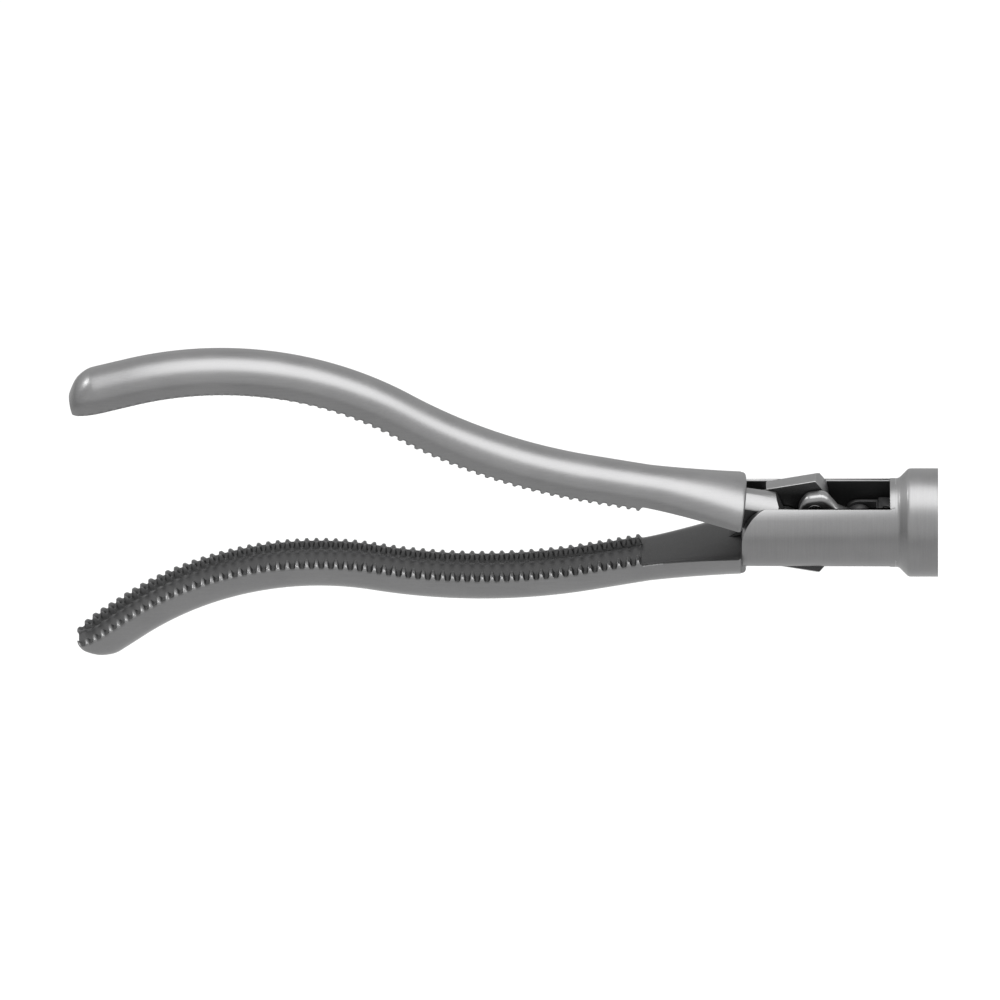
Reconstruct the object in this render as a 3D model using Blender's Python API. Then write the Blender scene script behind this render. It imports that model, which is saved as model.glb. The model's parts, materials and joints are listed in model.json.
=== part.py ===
"""Working end of a 10 mm laparoscopic grasper: two long toothed jaws in a slotted barrel, with links and push rod.

Metres, +Z up. The jaws point along -X and open in the XZ plane. The origin is the middle of the
collar's rear face, where the instrument's shaft carries on. Each jaw is drawn shut and then turned
open about the pivot, as it stands at rest.
"""

import math

import bmesh
import bpy
from mathutils import Matrix, Vector

# Collar and barrel: what is inside the collar is a share of its diameter
COLLAR_DIAMETER = 0.0100
COLLAR_LENGTH = 0.0039
COLLAR_CONE_LENGTH = 0.0014
BARREL_SHARE = 0.82
SHANK_SHARE = 0.70
BUSH_SHARE = 0.55
SLOT_SHARE = 0.51
ROD_BORE_SHARE = 0.50
DOWEL_DEPTH_SHARE = 0.19
PIVOT_FROM_REAR = 0.0143
EAR_REACH = 0.0038
SLOT_BEHIND_PIVOT = 0.00986
EAR_CORNER_RADIUS = 0.0005
DOWEL_DIAMETER = 0.0008
DOWEL_FROM_REAR = 0.0019

# Jaw line: straight from the pivot, a long rise, a tighter fall, and a straight tip
STRAIGHT_LENGTH = 0.0185
RISE_RADIUS = 0.0515
RISE_ANGLE = math.radians(21.3)
FALL_RADIUS = 0.0300
FALL_ANGLE = math.radians(47.3)
TIP_LENGTH = 0.0059

# Jaw section
JAW_WIDTH = 0.0052
JAW_DEPTH = 0.00335
WALL_DEPTH = 0.0012
TOOTH_HEIGHT = 0.00055
TOOTH_PITCH = 0.0009
TOOTH_LAND = 0.0009
TOOTH_EDGE = 0.00020
GROOVE_DEPTH = 0.00075
BITE_GAP = 0.00004
TIP_ROUND_LENGTH = 0.0020
TIP_WIDTH_SHARE = 0.56
TIP_DEPTH_SHARE = 0.40
CROWN_STEPS = 4

# Jaw base, which flares towards the barrel
BASE_REAR = 0.00405
TEETH_START = 0.0132
BASE_WIDTH = 0.0087
BASE_DEPTH = 0.00375
BASE_WALL_DEPTH = 0.00095
BASE_FLAT_DEPTH = 0.00062
BASE_EDGE = 0.00038
FLARE_POWER = 1.44
BASE_STATION_SHARES = (0.05, 0.16, 0.28, 0.42, 0.56, 0.70, 0.85, 1.0)
RELIEF_CLEARANCE = 0.00010

# Opening
OPEN_ANGLE = math.radians(10.7)

# Tangs and their tails
TANG_CLEARANCE = 0.00010
TANG_FACE_GAP = 0.00010
PIVOT_PIN_DIAMETER = 0.0022
PIVOT_PIN_SEAT = 0.00090
BOSS_RADIUS = 0.00185
TAIL_ARM = 0.0036
TAIL_ANGLE = math.radians(24.5)
TAIL_TURNED_DIAMETER = 0.0080
TAIL_FRONT = 0.0014
TAIL_HEIGHT = 0.00375
TAIL_CHAMFER_LENGTH = 0.00075
TAIL_CHAMFER_HEIGHT = 0.0015
NECK_HEIGHT = 0.00320
NECK_ROOT_HEIGHT = 0.00312
NECK_END = 0.00122
NECK_FOOT_DEGREES = 100
TANG_ROOT = 0.0070
TANG_ROOT_LOW = 0.0012
TANG_ROOT_HIGH = 0.0025

# Links
LINK_LENGTH = 0.0046
LINK_THICKNESS_SHARE = 0.608
LINK_EYE_RADIUS = 0.0015
LINK_ROD_EYE_RADIUS = 0.00115
LINK_SIDE_GAP = 0.00010
LINK_SWING_CLEARANCE = 0.00025
LINK_HUMP_RISE = 0.0006
LINK_HUMP_RADIUS = 0.0010
LINK_HUMP_ANGLE = math.radians(137)
LINK_PIN_DIAMETER = 0.0015

# Push rod and its fork
FORK_EYE_RADIUS = 0.00125
FORK_BASE_HALF = 0.0016
FORK_BASE_LENGTH = 0.0015
FORK_THROAT = 0.00155
FORK_SHOULDER = 0.00175
ROD_DIAMETER = 0.0024
ROD_INTO_FORK = 0.0011
ROD_REAR_RECESS = 0.0011
ROD_SOCKET_DIAMETER = 0.0012
ROD_SOCKET_DEPTH = 0.0020
FORK_LOCK_DIAMETER = 0.0006

# Guide bush and the ring that keeps it in
BUSH_LENGTH = 0.0013
BUSH_FROM_REAR = 0.0022
RING_THICKNESS = 0.0004
RING_GROOVE_DEPTH = 0.00025
RING_WIDTH = 0.0007
RING_SPLIT = math.radians(24)

# Fits, and how far a cutting tool runs past what it cuts
PIN_FIT = 0.00002
RUNNING_FIT = 0.00005
FACE_GAP = 0.00004
OVERRUN = 0.0010

MERGE_DISTANCE = 0.000001
ROUND_SIDES = 48
PIN_SIDES = 24
SMOOTH_ANGLE = math.radians(35)
FLAT_ANGLE = math.radians(1)

# Worked out from the sizes above
PIVOT_X = -PIVOT_FROM_REAR
COLLAR_RADIUS = COLLAR_DIAMETER / 2
BARREL_RADIUS = COLLAR_RADIUS * BARREL_SHARE
SHANK_RADIUS = COLLAR_RADIUS * SHANK_SHARE
BUSH_RADIUS = COLLAR_RADIUS * BUSH_SHARE
ROD_BORE_RADIUS = COLLAR_RADIUS * ROD_BORE_SHARE
FORK_RADIUS = ROD_BORE_RADIUS - RUNNING_FIT
SLOT_HALF = COLLAR_RADIUS * SLOT_SHARE
SLOT_EDGE_HEIGHT = math.sqrt(BARREL_RADIUS**2 - SLOT_HALF**2)
TANG_OUTER = SLOT_HALF - TANG_CLEARANCE
TANG_INNER = TANG_FACE_GAP / 2
LINK_INNER = TANG_INNER + LINK_SIDE_GAP / 2
LINK_OUTER = LINK_INNER + SLOT_HALF * LINK_THICKNESS_SHARE
FORK_CHEEK_INNER = LINK_OUTER + LINK_SIDE_GAP
SCALLOP_RADIUS = LINK_EYE_RADIUS + LINK_SWING_CLEARANCE
TAIL_EYE_RADIUS = 2 * TAIL_ARM * math.sin(TAIL_ANGLE) - SCALLOP_RADIUS
ROOT_DEPTH = BITE_GAP + TOOTH_HEIGHT
FLOOR_DEPTH = BITE_GAP + GROOVE_DEPTH
RISE_LENGTH = RISE_RADIUS * RISE_ANGLE
FALL_LENGTH = FALL_RADIUS * FALL_ANGLE
JAW_LENGTH = STRAIGHT_LENGTH + RISE_LENGTH + FALL_LENGTH + TIP_LENGTH
TAIL_REST_ANGLE = TAIL_ANGLE + OPEN_ANGLE
LINK_REST_ANGLE = math.asin(TAIL_ARM * math.sin(TAIL_REST_ANGLE) / LINK_LENGTH)
ROD_PIN_BEHIND_PIVOT = TAIL_ARM * math.cos(TAIL_REST_ANGLE) + LINK_LENGTH * math.cos(LINK_REST_ANGLE)


def clear_scene():
    for obj in list(bpy.data.objects):
        bpy.data.objects.remove(obj, do_unlink=True)


def steel(name, tone, roughness):
    """A bare metal finish: tone is how light it is."""
    material = bpy.data.materials.new(name)
    material.use_nodes = True
    shader = material.node_tree.nodes["Principled BSDF"]
    shader.inputs["Base Color"].default_value = (tone, tone, tone, 1)
    shader.inputs["Metallic"].default_value = 1
    shader.inputs["Roughness"].default_value = roughness
    return material


def polymer(name, colour, roughness):
    material = bpy.data.materials.new(name)
    material.use_nodes = True
    shader = material.node_tree.nodes["Principled BSDF"]
    shader.inputs["Base Color"].default_value = (*colour, 1)
    shader.inputs["Roughness"].default_value = roughness
    return material


def make_object(name, bm, material=None, parent=None, place=(0, 0, 0), turn=0.0):
    """A mesh object placed in its parent's frame and turned about Y."""
    bmesh.ops.recalc_face_normals(bm, faces=bm.faces)
    mesh = bpy.data.meshes.new(name)
    bm.to_mesh(mesh)
    bm.free()
    mesh.shade_smooth()
    mesh.set_sharp_from_angle(angle=SMOOTH_ANGLE)
    if material:
        mesh.materials.append(material)
    obj = bpy.data.objects.new(name, mesh)
    bpy.context.scene.collection.objects.link(obj)
    obj.parent = parent
    obj.location = place
    obj.rotation_euler = (0, turn, 0)
    return obj


def make_tool(name, bm, parent, place=(0, 0, 0), turn=0.0):
    """A shape that only cuts or joins another one."""
    tool = make_object(name, bm, None, parent, place, turn)
    tool.hide_render = True
    tool.display_type = "WIRE"
    return tool


def combine(target, tool, operation="DIFFERENCE"):
    modifier = target.modifiers.new(tool.name, "BOOLEAN")
    modifier.operation = operation
    modifier.object = tool


def axis_empty(name, place):
    empty = bpy.data.objects.new(name, None)
    empty.location = place
    bpy.context.scene.collection.objects.link(empty)
    return empty


def arc(x, z, radius, start, end, steps):
    """Points on an arc in the XZ plane, from start to end in degrees."""
    angles = [math.radians(start + (end - start) * i / steps) for i in range(steps + 1)]
    return [(x + radius * math.cos(a), z + radius * math.sin(a)) for a in angles]


def plate(outline, y_low, y_high):
    """An outline in the XZ plane, extruded along Y."""
    bm = bmesh.new()
    face = bm.faces.new([bm.verts.new((x, y_low, z)) for x, z in outline])
    grown = bmesh.ops.extrude_face_region(bm, geom=[face])["geom"]
    moved = [item for item in grown if isinstance(item, bmesh.types.BMVert)]
    bmesh.ops.translate(bm, verts=moved, vec=(0, y_high - y_low, 0))
    return bm


def turned(profile, sides=ROUND_SIDES, sweep=math.tau):
    """A closed profile of (x, radius) points spun about the X axis. Less than a full turn gets end faces."""
    bm = bmesh.new()
    ring = [bm.verts.new((x, 0, radius)) for x, radius in profile]
    edges = [bm.edges.new(pair) for pair in zip(ring, ring[1:] + ring[:1])]
    full = math.isclose(sweep, math.tau)
    spin = {"cent": (0, 0, 0), "axis": (1, 0, 0), "angle": sweep, "steps": sides, "use_merge": full}
    last = bmesh.ops.spin(bm, geom=ring + edges, **spin)["geom_last"]
    if not full:
        bm.faces.new(ring)
        bm.faces.new([item for item in last if isinstance(item, bmesh.types.BMVert)])
    bmesh.ops.remove_doubles(bm, verts=bm.verts, dist=MERGE_DISTANCE)
    return bm


def cylinder(radius, low, high, axis="Y", sides=PIN_SIDES, x=0.0, z=0.0):
    """A round bar along one axis, from low to high on it."""
    turns = {"X": Matrix.Rotation(math.pi / 2, 4, "Y"), "Y": Matrix.Rotation(-math.pi / 2, 4, "X")}
    turns["Z"] = Matrix.Identity(4)
    middle = (low + high) / 2
    centre = {"X": (middle, 0, z), "Y": (x, middle, z), "Z": (x, 0, middle)}[axis]
    bm = bmesh.new()
    bmesh.ops.create_cone(
        bm,
        cap_ends=True,
        segments=sides,
        radius1=radius,
        radius2=radius,
        depth=high - low,
        matrix=Matrix.Translation(centre) @ turns[axis],
    )
    return bm


def block(low, high):
    """A box between two corners."""
    bm = bmesh.new()
    size = Vector(high) - Vector(low)
    place = Matrix.Translation((Vector(low) + Vector(high)) / 2)
    bmesh.ops.create_cube(bm, size=1, matrix=place @ Matrix.Diagonal((*size, 1)))
    return bm


def jaw_line(distance):
    """Where the bite surface runs, by distance from the pivot: x, z and slope, with the jaw shut."""
    legs = [
        (STRAIGHT_LENGTH, 0.0),
        (RISE_LENGTH, 1 / RISE_RADIUS),
        (FALL_LENGTH, -1 / FALL_RADIUS),
        (math.inf, 0.0),
    ]
    x, z, slope = 0.0, 0.0, 0.0
    for length, bend in legs:
        step = min(distance, length)
        if bend:
            turned_slope = slope + step * bend
            x -= (math.sin(turned_slope) - math.sin(slope)) / bend
            z += (math.cos(slope) - math.cos(turned_slope)) / bend
            slope = turned_slope
        else:
            x -= step * math.cos(slope)
            z += step * math.sin(slope)
        distance -= step
        if distance <= 0:
            break
    return x, z, slope


def section(half_width, depth, wall, top, shoulder, floor):
    """The jaw's closed outline as (across, away from the bite) points, from the middle of its flat."""
    scale = half_width / (JAW_WIDTH / 2)
    land_outer = half_width - TOOTH_EDGE * scale
    land_inner = land_outer - TOOTH_LAND * scale
    right = [
        (land_inner - TOOTH_EDGE * scale / 2, floor),
        (land_inner, top),
        (land_outer, top),
        (half_width, shoulder),
        (half_width, wall),
    ]
    for step in range(1, CROWN_STEPS):
        angle = math.pi / 2 * step / CROWN_STEPS
        right.append((half_width * math.cos(angle), wall + (depth - wall) * math.sin(angle)))
    left = [(-across, away) for across, away in reversed(right)]
    return [(0.0, floor)] + right + [(0.0, depth)] + left


def base_sections():
    """The smooth flared base, from its rear face to the first tooth."""
    first = (BASE_REAR, BASE_WIDTH / 2 - BASE_EDGE, BASE_DEPTH - BASE_EDGE, BASE_WALL_DEPTH)
    rows = [first]
    for share in BASE_STATION_SHARES:
        flare = (1 - share) ** FLARE_POWER
        half_width = (JAW_WIDTH + (BASE_WIDTH - JAW_WIDTH) * flare) / 2
        depth = JAW_DEPTH + (BASE_DEPTH - JAW_DEPTH) * (1 - share)
        wall = WALL_DEPTH + (BASE_WALL_DEPTH - WALL_DEPTH) * (1 - share)
        rows.append((BASE_REAR + (TEETH_START - BASE_REAR) * share, half_width, depth, wall))
    flat = BASE_FLAT_DEPTH
    edge = flat + TOOTH_EDGE
    return [(s, section(width, depth, wall, flat, edge, flat)) for s, width, depth, wall in rows]


def toothed_sections():
    """A crest and a root for each tooth, out to the rounded tip."""
    count = round((JAW_LENGTH - TEETH_START) / TOOTH_PITCH)
    pitch = (JAW_LENGTH - TEETH_START) / count
    rows = []
    for i in range(1, 2 * count + 1):
        distance = TEETH_START + i * pitch / 2
        into_round = max(0.0, 1 - (JAW_LENGTH - distance) / TIP_ROUND_LENGTH)
        fullness = math.sqrt(max(0.0, 1 - into_round**2))
        width_share = TIP_WIDTH_SHARE + (1 - TIP_WIDTH_SHARE) * fullness
        depth_share = TIP_DEPTH_SHARE + (1 - TIP_DEPTH_SHARE) * fullness
        depth = FLOOR_DEPTH + (JAW_DEPTH - FLOOR_DEPTH) * depth_share
        wall = FLOOR_DEPTH + (WALL_DEPTH - FLOOR_DEPTH) * depth_share
        top = BITE_GAP if i % 2 else ROOT_DEPTH
        shoulder = top + (FLOOR_DEPTH - top) / 2
        rows.append(
            (distance, section(JAW_WIDTH / 2 * width_share, depth, wall, top, shoulder, FLOOR_DEPTH))
        )
    return rows


def jaw_body(side):
    """The jaw shut, lofted by extruding its section from the rear to the tip. side is 1 for the upper jaw."""
    bm = bmesh.new()
    cap = None
    passed = []
    for distance, outline in base_sections() + toothed_sections():
        x, z, slope = jaw_line(distance)
        points = [
            (x + side * away * math.sin(slope), across, z + side * away * math.cos(slope))
            for across, away in outline
        ]
        if cap is None:
            cap = bm.faces.new([bm.verts.new(point) for point in points])
            continue
        grown = bmesh.ops.extrude_face_region(bm, geom=[cap])["geom"]
        passed.append(cap)
        cap = next(item for item in grown if isinstance(item, bmesh.types.BMFace))
        for vert, point in zip(cap.verts, points):
            vert.co = point
    bmesh.ops.delete(bm, geom=passed[1:], context="FACES_ONLY")
    return bm


def tang(side):
    """The flat tang and tail behind a jaw's base, shut, with the scallop that clears the other jaw's link."""
    tail_x = TAIL_ARM * math.cos(TAIL_ANGLE)
    tail_z = TAIL_ARM * math.sin(TAIL_ANGLE)
    tail_rear = tail_x + TAIL_EYE_RADIUS
    tail_degrees = math.degrees(TAIL_ANGLE)
    outline = [
        (-TANG_ROOT, TANG_ROOT_LOW),
        (-TANG_ROOT, TANG_ROOT_HIGH),
        (-BASE_REAR, NECK_ROOT_HEIGHT),
        (-NECK_END, NECK_HEIGHT),
    ]
    outline += arc(0, 0, BOSS_RADIUS, NECK_FOOT_DEGREES, tail_degrees, 6)
    outline += arc(tail_x, tail_z, SCALLOP_RADIUS, 180 + tail_degrees, 270, 6)[1:]
    outline += arc(tail_x, -tail_z, TAIL_EYE_RADIUS, 90, 0, 6)[1:]
    outline += [
        (tail_rear, -TAIL_HEIGHT + TAIL_CHAMFER_HEIGHT),
        (tail_rear - TAIL_CHAMFER_LENGTH, -TAIL_HEIGHT),
        (-TAIL_FRONT, -TAIL_HEIGHT),
    ]
    outline += arc(0, 0, BOSS_RADIUS, 215, 175, 4)
    outline.append((-BASE_REAR, TANG_ROOT_LOW))
    flipped = [(x, side * z) for x, z in outline]
    near, far = sorted((-side * TANG_OUTER, -side * TANG_INNER))
    return plate(flipped, near, far)


def jaw(name, side, material):
    """One jaw: lofted body, joined tang, relief for the square ear corner, pivot bore and tail pin bore."""
    body = make_object(name, jaw_body(side), material, None, (PIVOT_X, 0, 0), side * OPEN_ANGLE)
    plate_tool = make_tool(name + "_tang_blank", tang(side), body)
    turning = cylinder(TAIL_TURNED_DIAMETER / 2, -BASE_REAR - OVERRUN * 4, TAIL_ARM * 2, "X", ROUND_SIDES)
    combine(plate_tool, make_tool(name + "_tang_turning", turning, body), "INTERSECT")
    combine(body, plate_tool, "UNION")

    low_y, high_y = sorted((0, side * BASE_WIDTH))
    relief = block((-EAR_REACH - RELIEF_CLEARANCE, low_y, -BASE_WIDTH), (TAIL_ARM * 2, high_y, BASE_WIDTH))
    combine(body, make_tool(name + "_ear_relief", relief, body, turn=-side * OPEN_ANGLE))

    reach = TANG_OUTER + OVERRUN
    pivot_radius = PIVOT_PIN_DIAMETER / 2 + RUNNING_FIT
    combine(body, make_tool(name + "_pivot_bore", cylinder(pivot_radius, -reach, reach), body))
    tail = tail_pin_place(side)
    pin_radius = LINK_PIN_DIAMETER / 2 + PIN_FIT
    pin_bore = cylinder(pin_radius, -reach, reach)
    combine(body, make_tool(name + "_tail_bore", pin_bore, body, tail))
    return body


def tail_pin_place(side):
    """The tail pin in its jaw's own frame."""
    return (TAIL_ARM * math.cos(TAIL_ANGLE), 0, -side * TAIL_ARM * math.sin(TAIL_ANGLE))


def link(name, side, body, material):
    """A link from a jaw's tail pin to the fork pin, on the other side of the middle from its jaw's tang."""
    far_eye = Vector((LINK_LENGTH, 0))
    hump = side * LINK_HUMP_ANGLE
    circles = [
        (Vector((0, 0)), LINK_EYE_RADIUS),
        (Vector((math.cos(hump), -math.sin(hump))) * LINK_HUMP_RISE, LINK_HUMP_RADIUS),
        (far_eye, LINK_ROD_EYE_RADIUS),
    ]
    near, far = sorted((side * LINK_INNER, side * LINK_OUTER))
    bm = bmesh.new()
    for centre, radius in circles:
        for x, z in arc(centre.x, centre.y, radius, 0, 360, PIN_SIDES)[:-1]:
            bm.verts.new((x, near, z))
            bm.verts.new((x, far, z))
    hull = bmesh.ops.convex_hull(bm, input=bm.verts)
    bmesh.ops.delete(bm, geom=list(set(hull["geom_interior"] + hull["geom_unused"])), context="VERTS")
    bmesh.ops.dissolve_limit(bm, angle_limit=FLAT_ANGLE, verts=bm.verts, edges=bm.edges)
    turn = -side * (OPEN_ANGLE + LINK_REST_ANGLE)
    arm = make_object(name, bm, material, body, tail_pin_place(side), turn)
    reach = LINK_OUTER + OVERRUN
    radius = LINK_PIN_DIAMETER / 2 + RUNNING_FIT
    combine(arm, make_tool(name + "_tail_eye", cylinder(radius, -reach, reach), arm))
    combine(arm, make_tool(name + "_rod_eye", cylinder(radius, -reach, reach, x=LINK_LENGTH), arm))
    return arm


def link_pin(name, side, body, material):
    """The pin riveted into a tail, which carries that jaw's link."""
    low, high = sorted((-side * (TANG_OUTER - PIN_FIT), side * (LINK_OUTER - PIN_FIT)))
    bm = cylinder(LINK_PIN_DIAMETER / 2, low, high)
    return make_object(name, bm, material, body, tail_pin_place(side))


def ear_corner(radius, side_y, side_z):
    """What is cut off one front corner of one ear, down to a round of this radius."""
    x = PIVOT_X - EAR_REACH + radius
    z = SLOT_EDGE_HEIGHT - radius
    far = BARREL_RADIUS + OVERRUN
    outline = arc(x, z, radius, 180, 90, 8)
    outline += [(x, far), (PIVOT_X - EAR_REACH - OVERRUN, far), (PIVOT_X - EAR_REACH - OVERRUN, z)]
    near, far = sorted((side_y * TANG_INNER, side_y * far))
    return plate([(px, side_z * pz) for px, pz in outline], near, far)


def barrel(material):
    """The slotted barrel: two ears in front, a shank for the collar behind, bored through for the rod."""
    shoulder = -COLLAR_LENGTH - FACE_GAP
    bush_step = -BUSH_FROM_REAR
    bush_radius = BUSH_RADIUS + PIN_FIT
    ring_front = bush_step + BUSH_LENGTH + FACE_GAP
    ring_rear = ring_front + RING_THICKNESS + FACE_GAP * 2
    groove_radius = bush_radius + RING_GROOVE_DEPTH
    profile = [
        (PIVOT_X - EAR_REACH, ROD_BORE_RADIUS),
        (PIVOT_X - EAR_REACH, BARREL_RADIUS),
        (shoulder, BARREL_RADIUS),
        (shoulder, SHANK_RADIUS),
        (0, SHANK_RADIUS),
        (0, bush_radius),
        (ring_rear, bush_radius),
        (ring_rear, groove_radius),
        (ring_front, groove_radius),
        (ring_front, bush_radius),
        (bush_step, bush_radius),
        (bush_step, ROD_BORE_RADIUS),
    ]
    body = make_object("clevis_barrel", turned(profile), material)
    tall = BARREL_RADIUS + OVERRUN
    slot_front = PIVOT_X - EAR_REACH - OVERRUN
    slot = block((slot_front, -SLOT_HALF, -tall), (PIVOT_X + SLOT_BEHIND_PIVOT, SLOT_HALF, tall))
    combine(body, make_tool("barrel_slot", slot, body))
    for side in (1, -1):
        round_nose = ear_corner(SLOT_EDGE_HEIGHT, -side, side)
        combine(body, make_tool(f"ear_nose_{side}", round_nose, body))
        square_nose = ear_corner(EAR_CORNER_RADIUS, side, side)
        combine(body, make_tool(f"ear_corner_{side}", square_nose, body))
    blind_end = -SLOT_HALF - PIVOT_PIN_SEAT
    pin_bore = cylinder(PIVOT_PIN_DIAMETER / 2 + PIN_FIT, blind_end, tall)
    combine(body, make_tool("pivot_bore", pin_bore, body, (PIVOT_X, 0, 0)))
    combine(body, make_tool("dowel_seat", dowel(PIN_FIT, OVERRUN), body))
    return body


def dowel(fit, overrun):
    """The dowel that locks the collar, or the hole for it when given its fit."""
    inner = COLLAR_RADIUS - COLLAR_DIAMETER * DOWEL_DEPTH_SHARE - fit
    outer = math.sqrt(COLLAR_RADIUS**2 - (DOWEL_DIAMETER / 2) ** 2) - PIN_FIT + overrun
    radius = DOWEL_DIAMETER / 2 + fit
    return cylinder(radius, inner, outer, sides=PIN_SIDES // 2, x=-DOWEL_FROM_REAR)


def collar(material):
    """The full-width sleeve behind the barrel, with its coned front."""
    inner = SHANK_RADIUS + PIN_FIT
    profile = [
        (-COLLAR_LENGTH, inner),
        (-COLLAR_LENGTH, BARREL_RADIUS),
        (-COLLAR_LENGTH + COLLAR_CONE_LENGTH, COLLAR_RADIUS),
        (0, COLLAR_RADIUS),
        (0, inner),
    ]
    sleeve = make_object("shaft_collar", turned(profile), material)
    combine(sleeve, make_tool("dowel_hole", dowel(PIN_FIT, OVERRUN), sleeve))
    return sleeve


def pivot_pin(material):
    """The pin both jaws turn on, blind in the near ear and flush in the far one."""
    radius = PIVOT_PIN_DIAMETER / 2
    flush = math.sqrt(BARREL_RADIUS**2 - radius**2) - PIN_FIT
    blind_end = -SLOT_HALF - PIVOT_PIN_SEAT + FACE_GAP
    return make_object("jaw_pivot_pin", cylinder(radius, blind_end, flush), material, None, (PIVOT_X, 0, 0))


def fork(slide, material):
    """The forked end of the push rod: turned from bar, slotted for the links, cheeks rounded at their pin."""
    base_rear = FORK_THROAT + FORK_BASE_LENGTH
    high = FORK_RADIUS + OVERRUN
    outline = arc(0, 0, FORK_EYE_RADIUS, 270, 90, 12)
    outline += [
        (FORK_SHOULDER, FORK_EYE_RADIUS),
        (FORK_SHOULDER, FORK_BASE_HALF),
        (base_rear, FORK_BASE_HALF),
    ]
    outline += [(x, -z) for x, z in reversed(outline[-3:])]
    head = make_object("rod_fork", plate(outline, -high, high), material, slide)
    bar = cylinder(FORK_RADIUS, -high, high * 2, "X", ROUND_SIDES)
    combine(head, make_tool("fork_bar", bar, head), "INTERSECT")
    throat = block((-high, -FORK_CHEEK_INNER, -high), (FORK_THROAT, FORK_CHEEK_INNER, high))
    combine(head, make_tool("fork_throat", throat, head))
    pin_bore = cylinder(LINK_PIN_DIAMETER / 2 + PIN_FIT, -high, high)
    combine(head, make_tool("fork_pin_bore", pin_bore, head))
    rod_hole = cylinder(ROD_DIAMETER / 2 + PIN_FIT, base_rear - ROD_INTO_FORK, base_rear + OVERRUN, "X")
    combine(head, make_tool("fork_rod_hole", rod_hole, head))
    combine(head, make_tool("fork_lock_hole", fork_lock(PIN_FIT, OVERRUN), head))
    return head


def fork_lock(fit, overrun):
    """The pin across the fork and the rod, or the hole for it when given its fit."""
    flush = FORK_BASE_HALF - PIN_FIT + overrun
    middle = FORK_THROAT + FORK_BASE_LENGTH - ROD_INTO_FORK / 2
    return cylinder(FORK_LOCK_DIAMETER / 2 + fit, -flush, flush, "Z", PIN_SIDES // 2, x=middle)


def push_rod(slide, material):
    """The rod, from inside the fork to just inside the rear face, with a socket for the drive rod behind."""
    front = FORK_THROAT + FORK_BASE_LENGTH - ROD_INTO_FORK + FACE_GAP
    rear = PIVOT_FROM_REAR - ROD_PIN_BEHIND_PIVOT - ROD_REAR_RECESS
    radius = ROD_DIAMETER / 2
    rod = make_object("push_rod", cylinder(radius, front, rear, "X"), material, slide)
    socket = cylinder(ROD_SOCKET_DIAMETER / 2, rear - ROD_SOCKET_DEPTH, rear + OVERRUN, "X")
    combine(rod, make_tool("rod_socket", socket, rod))
    combine(rod, make_tool("rod_lock_hole", fork_lock(PIN_FIT, OVERRUN), rod))
    return rod


def guide_bush(material):
    """The bush the rod slides in, against the step in the barrel's bore."""
    bore = ROD_DIAMETER / 2 + RUNNING_FIT
    front = -BUSH_FROM_REAR + FACE_GAP
    rear = -BUSH_FROM_REAR + BUSH_LENGTH
    profile = [(front, bore), (front, BUSH_RADIUS), (rear, BUSH_RADIUS), (rear, bore)]
    return make_object("rod_guide_bush", turned(profile), material)


def retaining_ring(material):
    """The split ring behind the bush, sprung into its groove."""
    outer = BUSH_RADIUS + RING_GROOVE_DEPTH - FACE_GAP
    inner = outer - RING_WIDTH
    front = -BUSH_FROM_REAR + BUSH_LENGTH + FACE_GAP * 2
    rear = front + RING_THICKNESS
    profile = [(front, inner), (front, outer), (rear, outer), (rear, inner)]
    bm = turned(profile, ROUND_SIDES, math.tau - RING_SPLIT)
    return make_object("bush_retaining_ring", bm, material)


def build():
    clear_scene()
    satin = steel("satin_steel", 0.55, 0.42)
    bright = steel("bright_steel", 0.66, 0.26)
    dark = steel("dark_steel", 0.16, 0.45)
    spring = steel("spring_steel", 0.38, 0.35)
    bush_polymer = polymer("bush_polymer", (0.62, 0.56, 0.45), 0.5)

    upper = jaw("upper_jaw", 1, satin)
    lower = jaw("lower_jaw", -1, satin)
    link_pin("upper_link_pin", 1, upper, bright)
    link_pin("lower_link_pin", -1, lower, bright)
    link("upper_link", 1, upper, satin)
    link("lower_link", -1, lower, satin)

    barrel(satin)
    collar(satin)
    make_object("collar_dowel", dowel(0, 0), bright)
    pivot_pin(bright)

    slide = axis_empty("rod_slide", (PIVOT_X + ROD_PIN_BEHIND_PIVOT, 0, 0))
    fork(slide, dark)
    fork_half = math.sqrt(FORK_RADIUS**2 - (LINK_PIN_DIAMETER / 2) ** 2) - PIN_FIT
    make_object("fork_pin", cylinder(LINK_PIN_DIAMETER / 2, -fork_half, fork_half), bright, slide)
    push_rod(slide, bright)
    make_object("fork_lock_pin", fork_lock(0, 0), bright, slide)

    guide_bush(bush_polymer)
    retaining_ring(spring)


build()
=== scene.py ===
# %% [markdown]
# # Dressing the working end of a laparoscopic grasper
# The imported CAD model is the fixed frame: it says where every piece is and how it moves. This lesson
# rebuilds each metal piece with a finer mesh in the same place, gives it a finish, and lights it in a
# small studio. The jaws carry the most work, because their two rows of teeth are what a surgeon sees.

# %% Load the frame
import json
import math

import bmesh
import bpy
from mathutils import Matrix, Vector

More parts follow.
